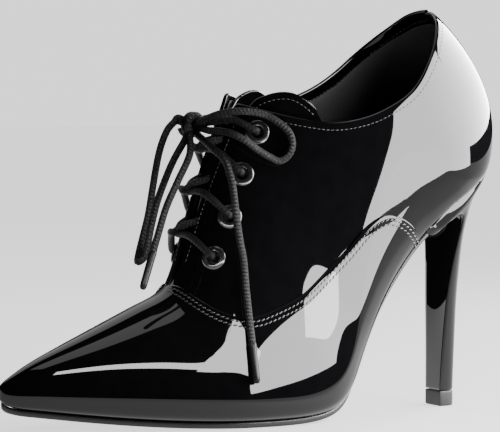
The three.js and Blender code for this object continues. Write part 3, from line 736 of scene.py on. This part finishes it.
def collar_room(points, side):
    """How far below the collar's line a point lies."""
    line = COLLAR[side]
    level = np.interp(points[..., 0], line[:, 0], line[:, 1])
    return np.where(points[..., 0] < line[0, 0], FAR, level - points[..., 2])


def throat_room(points, side):
    """How far outside the open throat a point lies."""
    column = 1 if side < 0 else 2
    edge = np.interp(points[..., 2], THROAT[:, 0] * TOP_HEIGHT, THROAT[:, column])
    room = side * (points[..., 1] - edge)
    elsewhere = (points[..., 2] < THROAT[0, 0] * TOP_HEIGHT) | (points[..., 0] > THROAT_BACK * LENGTH)
    return np.where(elsewhere, FAR, room)


def vamp_room(points, _):
    """How far below the vamp's seam a point lies. Both sides have the same seam."""
    level = np.interp(points[..., 0], VAMP_LINE[:, 0], VAMP_LINE[:, 1])
    return np.where(points[..., 0] < VAMP_LINE[0, 0], FAR, level - points[..., 2])


def quarter_room(points, side):
    return np.minimum(collar_room(points, side), throat_room(points, side))


def limit(places, side, room):
    """The t at which each section first runs out of room, 1 where it never does."""
    t = np.linspace(0, 1, 900)
    left = room(last_skin(places[:, None], side, t[None]), side)
    out = left < 0
    first = np.maximum(np.argmax(out, axis=1), 1)
    here = np.arange(len(places))
    before, after = left[here, first - 1], left[here, first]
    crossing = t[first - 1] + (t[first] - t[first - 1]) * before / (before - after)
    crossing = np.where(out[:, 0], 0.0, np.where(out.any(axis=1), crossing, 1.0))
    reach = int(3 * EDGE_BLUR)
    return blurred(np.pad(crossing, reach, mode="edge"), reach, EDGE_BLUR)


def even_places(start, end, spacing):
    """Places whose sections are evenly spaced along the belly of the last."""
    fine = np.linspace(start, end, 4000)
    line = last_skin(fine, -1, TURN_SHARE)
    along = run_along(line)
    count = int(round(along[-1] / spacing)) + 1
    return np.interp(np.linspace(0, along[-1], count), along, fine)


STATIONS = even_places(0.0, 2.0, 0.85)
VAMP_TOP = {side: limit(STATIONS, side, vamp_room) for side in (-1, 1)}
QUARTER_TOP = {side: limit(STATIONS, side, quarter_room) for side in (-1, 1)}
print(len(STATIONS), "sections; the vamp ends at place", STATIONS[np.argmax(VAMP_TOP[-1] == 0)].round(3))

# %% [markdown]
# ## Leather sheets
#
# A leather piece has an outside, an edge and an inside. `leather_sheet` lists them for each section:
# the outside rows from the lower to the upper limit, a half circle over the cut edge, and the inside
# rows back down. Its UV counts millimetres along the upper edge and away from it, so that a finish
# can follow the seam. The direction of the half circle comes from the edge's own line.

# %% A sheet of leather over the last
ROLL = 6


def edge_directions(edge, normal, below):
    """Outward direction at each point of an edge, across its line and along the skin."""
    line = unit(np.gradient(edge, axis=0))
    outward = unit(np.cross(normal, line))
    sign = np.sign(((edge - below) * outward).sum(-1, keepdims=True))
    return outward * np.where(sign == 0, 1, sign)


def sheet_rows(places, side, low, high, rows, height, thickness, inside):
    """Points and UV of one side of a sheet: outside rows, rolled edge, inside rows."""
    t = low[:, None] + (high - low)[:, None] * np.linspace(0, 1, rows)
    place = np.broadcast_to(places[:, None], t.shape)
    outside = over_skin(place, side, t, height(t))
    edge, normal = outside[:, -1], skin_normal(places, side, high)
    open_edge = np.clip((1 - high) / 0.01, 0, 1)[:, None]
    outward = edge_directions(edge, normal, outside[:, -2])
    half = thickness / 2 * open_edge
    roll = [
        edge - normal * (half * (1 - np.cos(turn))) + outward * (half * np.sin(turn))
        for turn in np.linspace(0, np.pi, ROLL + 2)[1:-1]
    ]
    t_inside = high[:, None] + (low - high)[:, None] * np.linspace(0, inside[0], inside[1])
    depth = height(t_inside) - thickness * open_edge
    under = over_skin(np.broadcast_to(places[:, None], t_inside.shape), side, t_inside, depth)
    points = np.concatenate([outside, np.stack(roll, 1), under], 1)
    along = run_along(edge)
    gaps = np.linalg.norm(np.diff(points, axis=1), axis=-1)
    away = np.concatenate([np.zeros((len(places), 1)), np.cumsum(gaps, axis=1)], 1)
    away = away[:, rows - 1:rows] - away
    uv = np.stack([np.broadcast_to(along[:, None], away.shape), away], -1)
    return points, uv


def leather_sheet(name, halves, finish, closed=False):
    """One piece from one or two sides of a sheet, welded where they meet."""
    points, uvs, faces, first = [], [], [], 0
    for rows, uv in halves:
        stations, columns = rows.shape[:2]
        faces += grid_faces(stations, columns, closed, first).tolist()
        if closed:
            faces.append([first + k for k in range(columns)])
        points.append(rows.reshape(-1, 3))
        uvs.append(uv.reshape(-1, 2))
        first += stations * columns
    made = make_piece(name, np.concatenate(points), faces, uv=np.concatenate(uvs), weld=0.004)
    print(name, len(made.data.polygons), "faces")
    return fix_to_shoe(made, finish)


def level(height):
    """A height over the skin that is the same everywhere."""
    return lambda t: np.full_like(t, height)


# %% [markdown]
# ## Vamp
#
# The vamp covers the toes and runs back under the arch. It lies over the quarters, a leather's
# thickness higher, and fades into them at the feather edge, where everything is lasted under. Its
# upper edge is folded, so it is round. Below the feather edge a margin turns under the foot.

# %% Vamp piece
MARGIN_ROWS = 5


def with_margin(rows, uv):
    """Adds the lasting margin, turned under from the feather edge towards the middle line."""
    feather = rows[:, 0]
    middle = section(STATIONS[:len(rows)])["swing"]
    inward = np.stack([np.zeros(len(rows)), middle - feather[:, 1], np.zeros(len(rows))], -1)
    shares = np.linspace(0.5, 0, MARGIN_ROWS + 1)[:-1]
    margin = np.stack([feather + inward * share + np.array([0, 0, 0.02]) for share in shares], 1)
    uv_margin = np.repeat(uv[:, :1], MARGIN_ROWS, axis=1)
    return np.concatenate([margin, rows], 1), np.concatenate([uv_margin, uv], 1)


def vamp_height(t):
    return VAMP_STEP * np.clip(2 * t / TURN_SHARE, 0, 1)


vamp_stations = int(np.argmax(VAMP_TOP[-1] == 0)) + 1
vamp_halves = []
for side in (-1, 1):
    reach = slice(0, vamp_stations)
    halves = sheet_rows(STATIONS[reach], side, np.zeros(vamp_stations), VAMP_TOP[side][reach], 56,
                        vamp_height, VAMP_STEP, (0.03, 3))
    vamp_halves.append(with_margin(*halves))
vamp = leather_sheet("vamp", vamp_halves, PATENT)
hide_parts("upper")

# %% [markdown]
# ## Quarters
#
# The two quarters carry the eyelets, wrap the heel and meet at its back. Their front ends run under
# the vamp. They are closed sheets, so the eight eyelet holes can be cut with a boolean: the cut is
# small, and the eyelet's flange hides it. At the collar the leather is folded over and a little of
# it shows inside.

# %% Quarters
UNDER_VAMP = 0.10
quarter_first = int(np.argmax(VAMP_TOP[-1] < 0.999)) - 2
quarter_places = STATIONS[quarter_first:]
quarter_halves = []
for side in (-1, 1):
    high = QUARTER_TOP[side][quarter_first:]
    low = np.minimum(np.maximum(VAMP_TOP[side][quarter_first:] - UNDER_VAMP, 0), high - 0.02)
    quarter_halves.append(sheet_rows(quarter_places, side, low, high, 60, level(0.0), WALL, (1.0, 22)))
quarters = leather_sheet("quarters", quarter_halves, PATENT, closed=True)


# %% Places of the eyelets
EYELETS = [(0.476, 0.697), (0.443, 0.598), (0.414, 0.497), (0.381, 0.400)]
EYELET_BARREL, HOLE_ROOM = 3.0, 0.15


def find_on_side(x, z, side):
    """The place and t of the skin that show at a point of the side view."""
    place, t, span = 0.55, 0.75, 0.25
    for _ in range(9):
        places = np.clip(place + span * np.linspace(-1, 1, 21), 0, 2)[:, None]
        ts = np.clip(t + span * np.linspace(-1, 1, 21), 0, 1)[None]
        points = last_skin(places, side, ts)
        row, column = divmod(int(np.argmin((points[..., 0] - x) ** 2 + (points[..., 2] - z) ** 2)), 21)
        place, t, span = float(places[row, 0]), float(ts[0, column]), span * 0.35
    return place, t


eyelet_spots = []
for side in (-1, 1):
    for x, z in EYELETS:
        place, t = find_on_side(x * LENGTH, z * TOP_HEIGHT, side)
        centre, normal = last_skin(place, side, t), skin_normal(place, side, t)
        eyelet_spots.append({"side": side, "place": place, "t": t, "centre": centre, "normal": normal})
print("lowest outer eyelet at", eyelet_spots[3]["centre"].round(1))


# %% A turned piece, and the holes of the eyelets
def axes_of(normal):
    """Two directions across an axis."""
    first = unit(np.cross(normal, np.array([0.0, 0.0, 1.0])))
    return first, np.cross(normal, first)


def turned(name, profile, centre, normal, sides):
    """A closed ring turned round an axis from a closed profile of (radius, height)."""
    first, second = axes_of(normal)
    turn = np.linspace(0, 2 * np.pi, sides, endpoint=False)[:, None, None]
    radius, height = np.array(profile).T
    points = (centre + (first * np.cos(turn) + second * np.sin(turn)) * radius[None, :, None]
              + normal * height[None, :, None])
    count = len(profile)
    ring = np.concatenate([points, points[:1]])
    faces = grid_faces(sides + 1, count, closed=True)
    return make_piece(name, ring, faces, weld=0.001)


PLUG_CORE, PLUG_REACH = 0.01, 6.0


def cut_holes(made, spots, radius):
    """Cuts a round hole through a piece at each spot."""
    low, high = -PLUG_REACH, PLUG_REACH
    plug_profile = [(PLUG_CORE, low), (radius, low), (radius, high), (PLUG_CORE, high)]
    for spot in spots:
        plug = turned("plug", plug_profile, spot["centre"], spot["normal"], 40)
        hole = made.modifiers.new("hole", "BOOLEAN")
        hole.object, hole.solver = plug, "EXACT"
        depsgraph = bpy.context.evaluated_depsgraph_get()
        cut = bpy.data.meshes.new_from_object(made.evaluated_get(depsgraph))
        made.modifiers.remove(hole)
        made.data = cut
        bpy.data.objects.remove(plug)


cut_holes(quarters, eyelet_spots, EYELET_BARREL + HOLE_ROOM)
print("quarters with holes:", len(quarters.data.polygons), "faces")

# %% [markdown]
# ## Lining
#
# Inside, the leather is lined to the foot. The lining stops just below the folded collar, which is
# why the collar shows as a thin glossy band with plain leather beneath it.

# %% Lining
LINING_START, LINING_FLOOR, LINING_BELOW_EDGE = 0.16, 0.02, 0.018
LINING_DEPTH, LINING_THICKNESS = WALL + 0.35, 0.3
lined = STATIONS > LINING_START
lining_halves = []
for side in (-1, 1):
    high = QUARTER_TOP[side][lined]
    high = np.where(high > 0.999, 1.0, high - LINING_BELOW_EDGE)
    low = np.full(len(high), LINING_FLOOR)
    lining_halves.append(sheet_rows(STATIONS[lined], side, low, high, 46, level(-LINING_DEPTH),
                                    LINING_THICKNESS, (0.02, 2)))
leather_sheet("lining", lining_halves, LINING)

# %% [markdown]
# ## Stitches
#
# A seam is made of separate short stitches, each sunk at both ends. Every stitch here is a small
# bead of thread, drawn out along the seam. One bead is modelled once and repeated with numpy into a
# single mesh, which is far lighter for Blender than hundreds of objects.

# %% Rows of stitches
BEAD_SIDES, BEAD_RINGS = 8, 7
STITCH_PROUD = 0.08


def bead():
    """A unit bead along x: rings of a rounded cylinder, thinner towards its sunk ends."""
    along = np.linspace(-1, 1, BEAD_RINGS)
    girth = np.clip(1 - np.abs(along) ** 3.0, 0.05, 1) ** 0.5
    turn = np.linspace(0, 2 * np.pi, BEAD_SIDES, endpoint=False)
    rings = np.stack([
        np.broadcast_to(along[:, None], (BEAD_RINGS, BEAD_SIDES)),
        girth[:, None] * np.cos(turn),
        girth[:, None] * np.sin(turn),
    ], -1)
    faces = grid_faces(BEAD_RINGS, BEAD_SIDES, closed=True).tolist()
    faces.append(list(range(BEAD_SIDES))[::-1])
    faces.append([BEAD_SIDES * (BEAD_RINGS - 1) + k for k in range(BEAD_SIDES)])
    return rings.reshape(-1, 3), faces


def stitch_points(line, normals, pitch, slant=0.0):
    """Middle points, directions and normals of stitches at an even pitch along a line."""
    along = run_along(line)
    wanted = np.arange(pitch / 2, along[-1], pitch)
    middle = sampled(line, along, wanted)
    up = unit(sampled(normals, along, wanted))
    ahead = unit(sampled(np.gradient(line, axis=0), along, wanted))
    return middle, unit(ahead + np.cross(up, ahead) * slant), up


def make_stitches(name, rows, length, girth):
    """One mesh of all the stitches of a seam. rows are (middle, ahead, up) sets."""
    shape, bead_faces = bead()
    middle, ahead, up = (np.concatenate([row[k] for row in rows]) for k in range(3))
    across = np.cross(up, ahead)
    points = (middle[:, None] + up[:, None] * (STITCH_PROUD - girth * 0.25)
              + ahead[:, None] * shape[None, :, :1] * length / 2
              + across[:, None] * shape[None, :, 1:2] * girth / 2
              + up[:, None] * shape[None, :, 2:3] * girth / 2)
    faces = [[corner + k * len(shape) for corner in face] for k in range(len(middle)) for face in bead_faces]
    fix_to_shoe(make_piece(name, points, faces), THREAD)
    print(name, len(middle), "stitches")


# %% [markdown]
# A seam runs beside an edge. `beside_edge` walks from each point of the edge into the piece, across
# the edge's own line, and settles on the skin again.

# %% A line beside an edge
def settle(points, side, place, t):
    """The place and t of the skin nearest to points, from a first guess."""
    step, largest = 0.002, 0.02
    for _ in range(5):
        here = last_skin(place, side, t)
        by_place = (last_skin(place + step, side, t) - here) / step
        by_t = (last_skin(place, side, t + step) - here) / step
        miss = points - here
        a, b, c = ((by_place ** 2).sum(-1), (by_place * by_t).sum(-1), (by_t ** 2).sum(-1))
        d, e = (miss * by_place).sum(-1), (miss * by_t).sum(-1)
        divide = np.maximum(a * c - b * b, 1e-6)
        place = np.clip(place + np.clip((d * c - e * b) / divide, -largest, largest), 0, 2 - 1e-4)
        t = np.clip(t + np.clip((e * a - d * b) / divide, -largest, largest), 0, 1)
    return place, t


def beside_edge(places, side, edge_t, distance, height):
    """A line at a distance from an edge on the skin, with its normals."""
    edge, normal = last_skin(places, side, edge_t), skin_normal(places, side, edge_t)
    below = last_skin(places, side, np.maximum(edge_t - 0.02, 0))
    outward = edge_directions(edge, normal, below)
    place, t = settle(edge - outward * distance, side, places, np.clip(edge_t, 0, 0.999))
    return over_skin(place, side, t, np.full(len(place), height)), skin_normal(place, side, t)


# %% Seam of the vamp
VAMP_ROWS = (1.5, 3.4)
VAMP_PITCH, VAMP_SLANT, VAMP_STITCH, VAMP_THREAD = 2.15, 0.3, 1.95, 0.85
vamp_rows = []
for side in (-1, 1):
    crossing_ridge = int(np.argmax(VAMP_TOP[side] < 0.985))
    reach = slice(crossing_ridge, vamp_stations - 3)
    for distance in VAMP_ROWS:
        line, up = beside_edge(STATIONS[reach], side, VAMP_TOP[side][reach], distance, VAMP_STEP)
        vamp_rows.append(stitch_points(line, up, VAMP_PITCH, VAMP_SLANT))
make_stitches("vamp_stitches", vamp_rows, VAMP_STITCH, VAMP_THREAD)

# %% Seams of the collar and the lining
COLLAR_ROW, LINING_ROW, FINE_PITCH = 2.3, 3.7, 2.0
FINE_STITCH, COLLAR_THREAD, FINE_THREAD = 1.5, 0.42, 0.45
collar_rows, collar_inside_rows = [], []
for side in (-1, 1):
    top = QUARTER_TOP[side]
    starts = int(np.argmax(top < 0.985)) + 6
    reach = slice(starts, len(STATIONS) - 2)
    line, up = beside_edge(STATIONS[reach], side, top[reach], COLLAR_ROW, 0.0)
    collar_rows.append(stitch_points(line, up, FINE_PITCH))
    line, up = beside_edge(STATIONS[reach], side, top[reach], LINING_ROW, -LINING_DEPTH)
    collar_inside_rows.append(stitch_points(line, -up, FINE_PITCH))
make_stitches("collar_stitches", collar_rows, FINE_STITCH, COLLAR_THREAD)
make_stitches("lining_stitches", collar_inside_rows, FINE_STITCH, FINE_THREAD)

# %% [markdown]
# ## Eyelets
#
# An eyelet is a short tube whose outer end is rolled into a flange. It is turned round its own axis
# from one profile, with a soft lip inside and a thin edge that catches the light outside.

# %% Eyelets
EYELET_PROFILE = [
    (2.45, -2.1), (2.40, -1.2), (2.40, 0.55), (2.50, 0.88), (2.75, 1.10), (3.10, 1.18), (3.60, 1.14),
    (4.20, 1.00), (4.65, 0.82), (4.90, 0.60), (5.00, 0.36), (4.96, 0.14), (4.80, 0.04), (3.20, 0.04),
    (3.00, -0.10), (3.00, -2.1),
]
for index, spot in enumerate(eyelet_spots):
    side_name = "outer" if spot["side"] < 0 else "inner"
    number = index % len(EYELETS) + 1
    eyelet = turned(f"eyelet_ring_{side_name}_{number}", EYELET_PROFILE, spot["centre"], spot["normal"], 56)
    fix_to_shoe(eyelet, ENAMEL)
    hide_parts(f"eyelet_{side_name}_{number}")
print(len(eyelet_spots), "eyelets")

# %% [markdown]
# ## The laced throat
#
# Each strand comes up through an eyelet, crosses the throat and dives under the opposite stay on its
# way to the next eyelet. The strands that start on the inner side ride over the others, and stand
# off the instep in small arches, because a waxed lace is stiff. Each point of a strand is a share of
# the way from its eyelet to the ridge of the instep, and a height over the skin.

# %% Strands
def ridge_place(z):
    """The place where the ridge of the instep reaches a height."""
    places = np.linspace(0.3, 0.8, 400)
    return float(np.interp(z, last_skin(places, -1, 1.0)[:, 2], places))


def toward_ridge(spot, place, share, height):
    """A point over the skin, a share of the way from an eyelet to the ridge."""
    at = spot["place"] + (place - spot["place"]) * share
    t = spot["t"] + (1 - spot["t"]) * share
    return over_skin(at, spot["side"], t, height)


def out_of_eyelet(spot, place):
    """The first points of a strand, from inside the shoe out through its eyelet."""
    centre, normal = spot["centre"], spot["normal"]
    lean = unit(toward_ridge(spot, place, 0.5, 0.0) - centre)
    return [centre - normal * 3.4, centre + normal * 0.4 + lean * 0.3, centre + normal * 2.4 + lean * 1.6]


def strand(start, end, arch):
    place = ridge_place((start["centre"][2] + end["centre"][2]) / 2)
    points = out_of_eyelet(start, place) + [
        toward_ridge(start, place, 0.50, 3.3),
        toward_ridge(start, place, 0.80, 3.7 + arch * 0.7),
        toward_ridge(end, place, 1.00, 3.8 + arch),
        toward_ridge(end, place, 0.86, 2.4 + arch * 0.6),
        toward_ridge(end, place, 0.72, -0.6),
        toward_ridge(end, place, 0.55, -3.4),
        toward_ridge(end, place, 0.35, -3.6),
    ]
    return even_line(points, BRAID_STEP)


def strand_to_knot(start):
    place = ridge_place(KNOT_CENTRE[2])
    points = out_of_eyelet(start, place) + [
        toward_ridge(start, place, 0.45, 3.4),
        KNOT_CENTRE + np.array([4.6, start["side"] * 5.6, 1.0]),
        KNOT_CENTRE + np.array([2.6, start["side"] * 3.4, 1.0]),
        KNOT_CENTRE + np.array([0.6, start["side"] * 0.8, 0.4]),
    ]
    return even_line(points, BRAID_STEP)


pairs = len(EYELETS)
strands = []
for pair in range(pairs - 1, 0, -1):
    strands.append(strand(eyelet_spots[pair], eyelet_spots[pairs + pair - 1], 0.0))
    strands.append(strand(eyelet_spots[pairs + pair], eyelet_spots[pair - 1], 2.0))
strands += [strand_to_knot(eyelet_spots[0]), strand_to_knot(eyelet_spots[pairs])]
laces = make_tube("crossed_laces", strands[0], LACE / 2)
for number, line in enumerate(strands[1:], start=2):
    extra = make_tube(f"crossed_lace_{number}", line, LACE / 2)
    extra.data.materials.append(BRAID)
    extra.parent = laces
fix_to_shoe(laces, BRAID)
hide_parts("lace_crossings")
print(len(strands), "strands")

# %% [markdown]
# ## Tongue
#
# The tongue lies under the stays and shows between them and above the collar. It is one padded sheet
# whose top edge is folded and stitched.

# %% Tongue
TONGUE_DROP, TONGUE, TONGUE_ROW = 0.9, 1.6, 2.2
tongue_line = drawn([*TONGUE_EDGE, TONGUE_EDGE[0]])


def inside_outline(x, z, outline):
    """True where a point of the side view lies inside a closed outline."""
    inside = np.zeros(np.shape(x), bool)
    for (x0, z0), (x1, z1) in zip(outline[:-1:2], np.roll(outline[::2], -1, axis=0)):
        if z0 != z1:
            crosses = (z0 > z) != (z1 > z)
            inside ^= crosses & (x < x0 + (z - z0) * (x1 - x0) / (z1 - z0))
    return inside


def tongue_limits(places, side):
    t = np.linspace(0.3, 1, 1200)
    points = last_skin(places[:, None], side, t[None])
    inside = inside_outline(points[..., 0], points[..., 2], tongue_line)
    low = t[np.argmax(inside, axis=1)]
    high = t[len(t) - 1 - np.argmax(inside[:, ::-1], axis=1)]
    return inside.any(axis=1), low, high


tongue_halves, tongue_rows = [], []
for side in (-1, 1):
    used, low, high = tongue_limits(STATIONS, side)
    used &= high - low > 0.02
    places, low, high = STATIONS[used], low[used], high[used]
    tongue_halves.append(sheet_rows(places, side, low, high, 44, level(-WALL - TONGUE_DROP), TONGUE,
                                    (1.0, 10)))
    top = high < 0.985
    line, up = beside_edge(places[top], side, high[top], TONGUE_ROW, -WALL - TONGUE_DROP)
    tongue_rows.append(stitch_points(line, up, FINE_PITCH))
tongue = leather_sheet("tongue_flap", tongue_halves, PATENT, closed=True)
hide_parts("tongue")
make_stitches("tongue_stitches", tongue_rows, FINE_STITCH, FINE_THREAD)

# %% [markdown]
# ## Sole, platform and sock
#
# Under the foot lie, from inside out, a sock of soft leather, a platform hidden by the upper, and the
# outsole. Each follows the feather edge of the last, so each is a stack of sections across the shoe.
# A section is given by the height over the feather edge and the half width on either side.

# %% Sections across the shoe
def across(place, y, up, lean=True):
    """Points at a distance from the middle line and a height over the feather edge."""
    s = section(place)
    tilt = s["lean"] if lean else np.zeros_like(s["lean"])
    return np.stack(np.broadcast_arrays(
        s["x"] - up * np.sin(tilt), y + s["swing"], np.maximum(s["z"] + up * np.cos(tilt), 0.0)), -1)


def place_at(x):
    """The place whose feather edge is at a length from the toe."""
    return float(np.interp(x, SIZES["x"], FINE_PLACE))


PLATFORM_END, PLATFORM_FULL = place_at(LENGTH * 0.66), place_at(LENGTH * 0.56)
SEAT_FRONT = place_at(LENGTH * 0.818)


def platform_top(place):
    fade = np.clip((PLATFORM_END - place) / (PLATFORM_END - PLATFORM_FULL), 0, 1)
    return WALL + GAP + (PLATFORM - WALL - GAP) * fade * fade * (3 - 2 * fade)


def inner_width(place, side, up, clearance):
    """Half width of the inside of the upper at a height over the feather edge."""
    s = section(place)
    wide = s["outer"] if side < 0 else s["inner"]
    lift = np.clip(1 - up / np.maximum(s["belly"], 0.1), 0, 1)
    turned_in = s["foot"] + (wide - s["foot"]) * np.sqrt(np.clip(1 - lift ** 2, 0, 1))
    return np.maximum(turned_in - clearance, 0.2)


def stack(name, rings, finish):
    """A closed piece through rings of equal length, capped at both ends."""
    count, columns = rings.shape[:2]
    faces = grid_faces(count, columns, closed=True).tolist()
    faces.append(list(range(columns))[::-1])
    faces.append([columns * (count - 1) + k for k in range(columns)])
    made = make_piece(name, rings, faces, weld=0.002)
    print(name, len(made.data.polygons), "faces")
    return fix_to_shoe(made, finish)


# %% Outsole
OUTSOLE_EDGE = 0.7
outsole_places = even_places(0.012, SEAT_FRONT, 0.9)
outsole_profile = [
    (1.000, -GAP, 0.10), (1.0, -0.55, 0.55), (1.0, -1.1, OUTSOLE_EDGE), (1.0, -2.2, OUTSOLE_EDGE),
    (1.0, -2.75, 0.45), (1.0, -3.0, 0.0), (0.66, -3.0, 0.0), (0.33, -3.0, 0.0), (0.0, -3.0, 0.0),
]
foot_half = section(outsole_places)["foot"]


def outsole_line(side, share, up, proud):
    """One line of the outsole, which stands proud only at its edge."""
    y = foot_half * share + proud * (share == 1.0)
    return across(outsole_places, side * y, up, lean=False)


right = [outsole_line(1, *row) for row in outsole_profile]
left = [outsole_line(-1, *row) for row in outsole_profile[-2::-1]]
outsole = stack("outsole", np.stack(right + left, 1), OUTSOLE_RUBBER)
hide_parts("sole")

# %% Platform and sock
SOCK_CLEARANCE = WALL + 0.75
SOCK_COLUMNS = 25


def floor_sheet(name, places, low, high, finish, crown=0.0):
    """A sheet across the inside of the shoe, between two heights."""
    share = np.linspace(-1, 1, SOCK_COLUMNS)
    widths = {side: inner_width(places, side, high, SOCK_CLEARANCE) for side in (-1, 1)}
    y = np.where(share < 0, widths[-1][:, None], widths[1][:, None]) * share
    top = across(places[:, None], y, high[:, None] + crown * share ** 4)
    bottom = across(places[:, None], y, low[:, None])
    return stack(name, np.concatenate([top, bottom[:, ::-1]], 1), finish)


platform_places = even_places(0.12, PLATFORM_END, 1.5)
floor_sheet("platform", platform_places, np.full(len(platform_places), WALL * 0.5),
            platform_top(platform_places), OUTSOLE_RUBBER)
sock_places = even_places(place_at(LENGTH * 0.1), 1.97, 1.2)
sock_low = platform_top(sock_places) + GAP
sock = floor_sheet("sock", sock_places, sock_low, sock_low + INSOLE, SOCK, crown=0.7)
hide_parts("insole")

# %% [markdown]
# ## Heel
#
# The slim heel is a plastic form covered in the same patent leather. Each of its sections is flat or
# slightly hollow at the breast and round behind. From the tip up it widens slowly, then sweeps out
# to the seat. Its top is cut along the underside of the seat.

# %% Heel
HEEL_SECTIONS = np.array([
    (0.8865, 0.067, 0.9238, 0.067, 0.109, 3.0, 0.000),
    (0.889, 0.233, 0.925, 0.233, 0.127, 3.0, 0.000),
    (0.893, 0.437, 0.927, 0.437, 0.162, 2.7, 0.002),
    (0.899, 0.583, 0.930, 0.583, 0.204, 2.4, 0.005),
    (0.904, 0.680, 0.931, 0.686, 0.247, 2.2, 0.009),
    (0.906, 0.745, 0.932, 0.768, 0.292, 2.2, 0.014),
    (0.903, 0.790, 0.938, 0.834, 0.331, 2.3, 0.018),
    (0.890, 0.797, 0.949, 0.889, 0.364, 2.4, 0.016),
    (0.862, 0.768, 0.965, 0.941, 0.393, 2.5, 0.010),
    (0.822, 0.722, 0.985, 1.005, 0.408, 2.6, 0.004),
    (0.800, 0.800, 0.975, 1.080, 0.408, 2.6, 0.004),
])
HEEL_STEPS, HEEL_TURNS, BREAST_COLUMNS = 110, 48, 14
HEEL_SCALE = np.array([LENGTH, HEEL_HEIGHT])


def heel_ring(front, back, half, full, scoop):
    """One D-shaped ring: round behind, flat or hollow at the breast."""
    turn = np.linspace(-np.pi / 2, np.pi / 2, HEEL_TURNS)
    y = half * np.sign(np.sin(turn)) * np.abs(np.sin(turn)) ** (2 / full)
    depth = np.clip(np.cos(turn), 0, 1) ** (2 / full)
    breast_y = half * np.linspace(1, -1, BREAST_COLUMNS + 2)[1:-1]
    hollow = scoop / np.linalg.norm(back - front) * (1 - (breast_y / half) ** 2)
    y, depth = np.concatenate([y, breast_y]), np.concatenate([depth, hollow])
    x, z = (front + (back - front) * depth[:, None]).T
    return np.stack([x, y, z], -1)


def seat_level(x):
    """Underside of the seat at a length from the toe."""
    fine = np.linspace(SEAT_FRONT, 2, 400)
    seat = section(fine)
    return np.interp(x, seat["x"], seat["z"]) - GAP


heel_rings = []
for row in through(HEEL_SECTIONS, np.linspace(0, 1, HEEL_STEPS)):
    half, full, scoop = row[4:]
    ring = heel_ring(row[:2] * HEEL_SCALE, row[2:4] * HEEL_SCALE, half * SEAT_WIDTH, full, scoop * LENGTH)
    ring[:, 2] = np.minimum(ring[:, 2], seat_level(ring[:, 0]))
    heel_rings.append(ring)
heel = stack("covered_heel", np.array(heel_rings), PATENT)
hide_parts("heel")

# %% Heel tip
tip_profile = [(0.0, 0.93), (0.35, 0.985), (0.8, 1.0), (5.9, 1.0), (6.3, 0.985), (TIP_HEIGHT, 0.95)]
tip_middle = np.array([TIP_FRONT + TIP_DEPTH / 2, 0.0])
tip_rings = []
for height, share in tip_profile:
    ring = heel_ring(np.array([TIP_FRONT, height]), np.array([TIP_FRONT + TIP_DEPTH, height]),
                     TIP_WIDTH / 2, 3.0, 0.0)
    ring[:, :2] = tip_middle + (ring[:, :2] - tip_middle) * share
    tip_rings.append(ring)
tip = stack("heel_tip_piece", np.array(tip_rings), TIP_RUBBER)
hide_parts("heel_tip")

# %% [markdown]
# ## The studio
#
# A pale floor, a pale room and large soft lights. Black patent shows little but what it reflects, so
# the room is bright only to the camera. The shoe sees a dim one, and the lights stand where the
# photograph's long pale shapes need them.

# %% Floor and room
FLOOR_HALF, FLOOR_GLOW = 3000.0, 1.4
FLOOR_GREY = (0.12, 0.12, 0.12)
ROOM_SEEN_BY_SHOE, ROOM_SEEN_BY_CAMERA = 0.02, 1.5

floor_points = [(x, y, 0.0) for x in (-FLOOR_HALF, FLOOR_HALF) for y in (-FLOOR_HALF, FLOOR_HALF)]
floor = make_piece("floor", floor_points, [(0, 1, 3, 2)], outward=False)
paint = Finish("pale_floor", Emission_Color=(1, 1, 1, 1), Emission_Strength=FLOOR_GLOW)
tone = paint.blend(paint.noise(6.0, 2.0), FLOOR_GREY, times(FLOOR_GREY, 0.985))
floor.data.materials.append(paint.surface(colour=tone, roughness=0.8))

world = bpy.data.worlds.new("room")
world.use_nodes = True
bpy.context.scene.world = world
nodes, links = world.node_tree.nodes, world.node_tree.links
bright = nodes.new("ShaderNodeMix")
bright.data_type = "RGBA"
for index, grey in ((6, ROOM_SEEN_BY_SHOE), (7, ROOM_SEEN_BY_CAMERA)):
    bright.inputs[index].default_value = (grey, grey, grey, 1)
links.new(nodes.new("ShaderNodeLightPath").outputs["Is Camera Ray"], bright.inputs[0])
links.new(bright.outputs[2], nodes["Background"].inputs["Color"])


# %% Lights
def softbox(name, start, end, facing, height, radiance):
    """A rectangular light whose middle line runs from start to end, turned to face a point."""
    start, end = np.array(start, float), np.array(end, float)
    centre, along = (start + end) / 2, unit(end - start)
    back = centre - np.array(facing, float)
    back = unit(back - along * (back @ along))
    data = bpy.data.lights.new(name, "AREA")
    data.shape, data.size, data.size_y = "RECTANGLE", np.linalg.norm(end - start) * MM, height * MM
    data.energy = radiance * np.pi * data.size * data.size_y
    made = bpy.data.objects.new(name, data)
    turned_to = Matrix(np.stack([along, np.cross(back, along), back], 1).tolist())
    made.matrix_world = Matrix.Translation(place_in_model(centre)[0].tolist()) @ turned_to.to_4x4()
    made.visible_camera = False
    bpy.context.scene.collection.objects.link(made)


WINDOW, WAIST, OVERHEAD, FAR_SIDE = 32.0, 30.0, 2.0, 1.5
softbox("quarter_window", (215, -160, 184), (715, -233, 184), (175, -20, 184), 212, WINDOW)
softbox("rear_window", (715, -233, 315), (690, 420, 315), (200, 0, 315), 330, WINDOW)
softbox("waist_window", (114, -125, 50), (214, -92, 58), (135, -32, 45), 38, WAIST)
softbox("vamp_strip", (64, -91, 78), (115, -110, 56), (95, -35, 25), 13, WINDOW)
softbox("toe_strip", (-8, -48, 88), (64, -91, 78), (50, -27, 26), 8, WINDOW)
softbox("overhead", (-380, -40, 1280), (620, -40, 1280), (111, 0, 40), 430, OVERHEAD)
softbox("far_side", (-600, 1000, 1000), (750, 1000, 1000), (111, 0, 40), 900, FAR_SIDE)
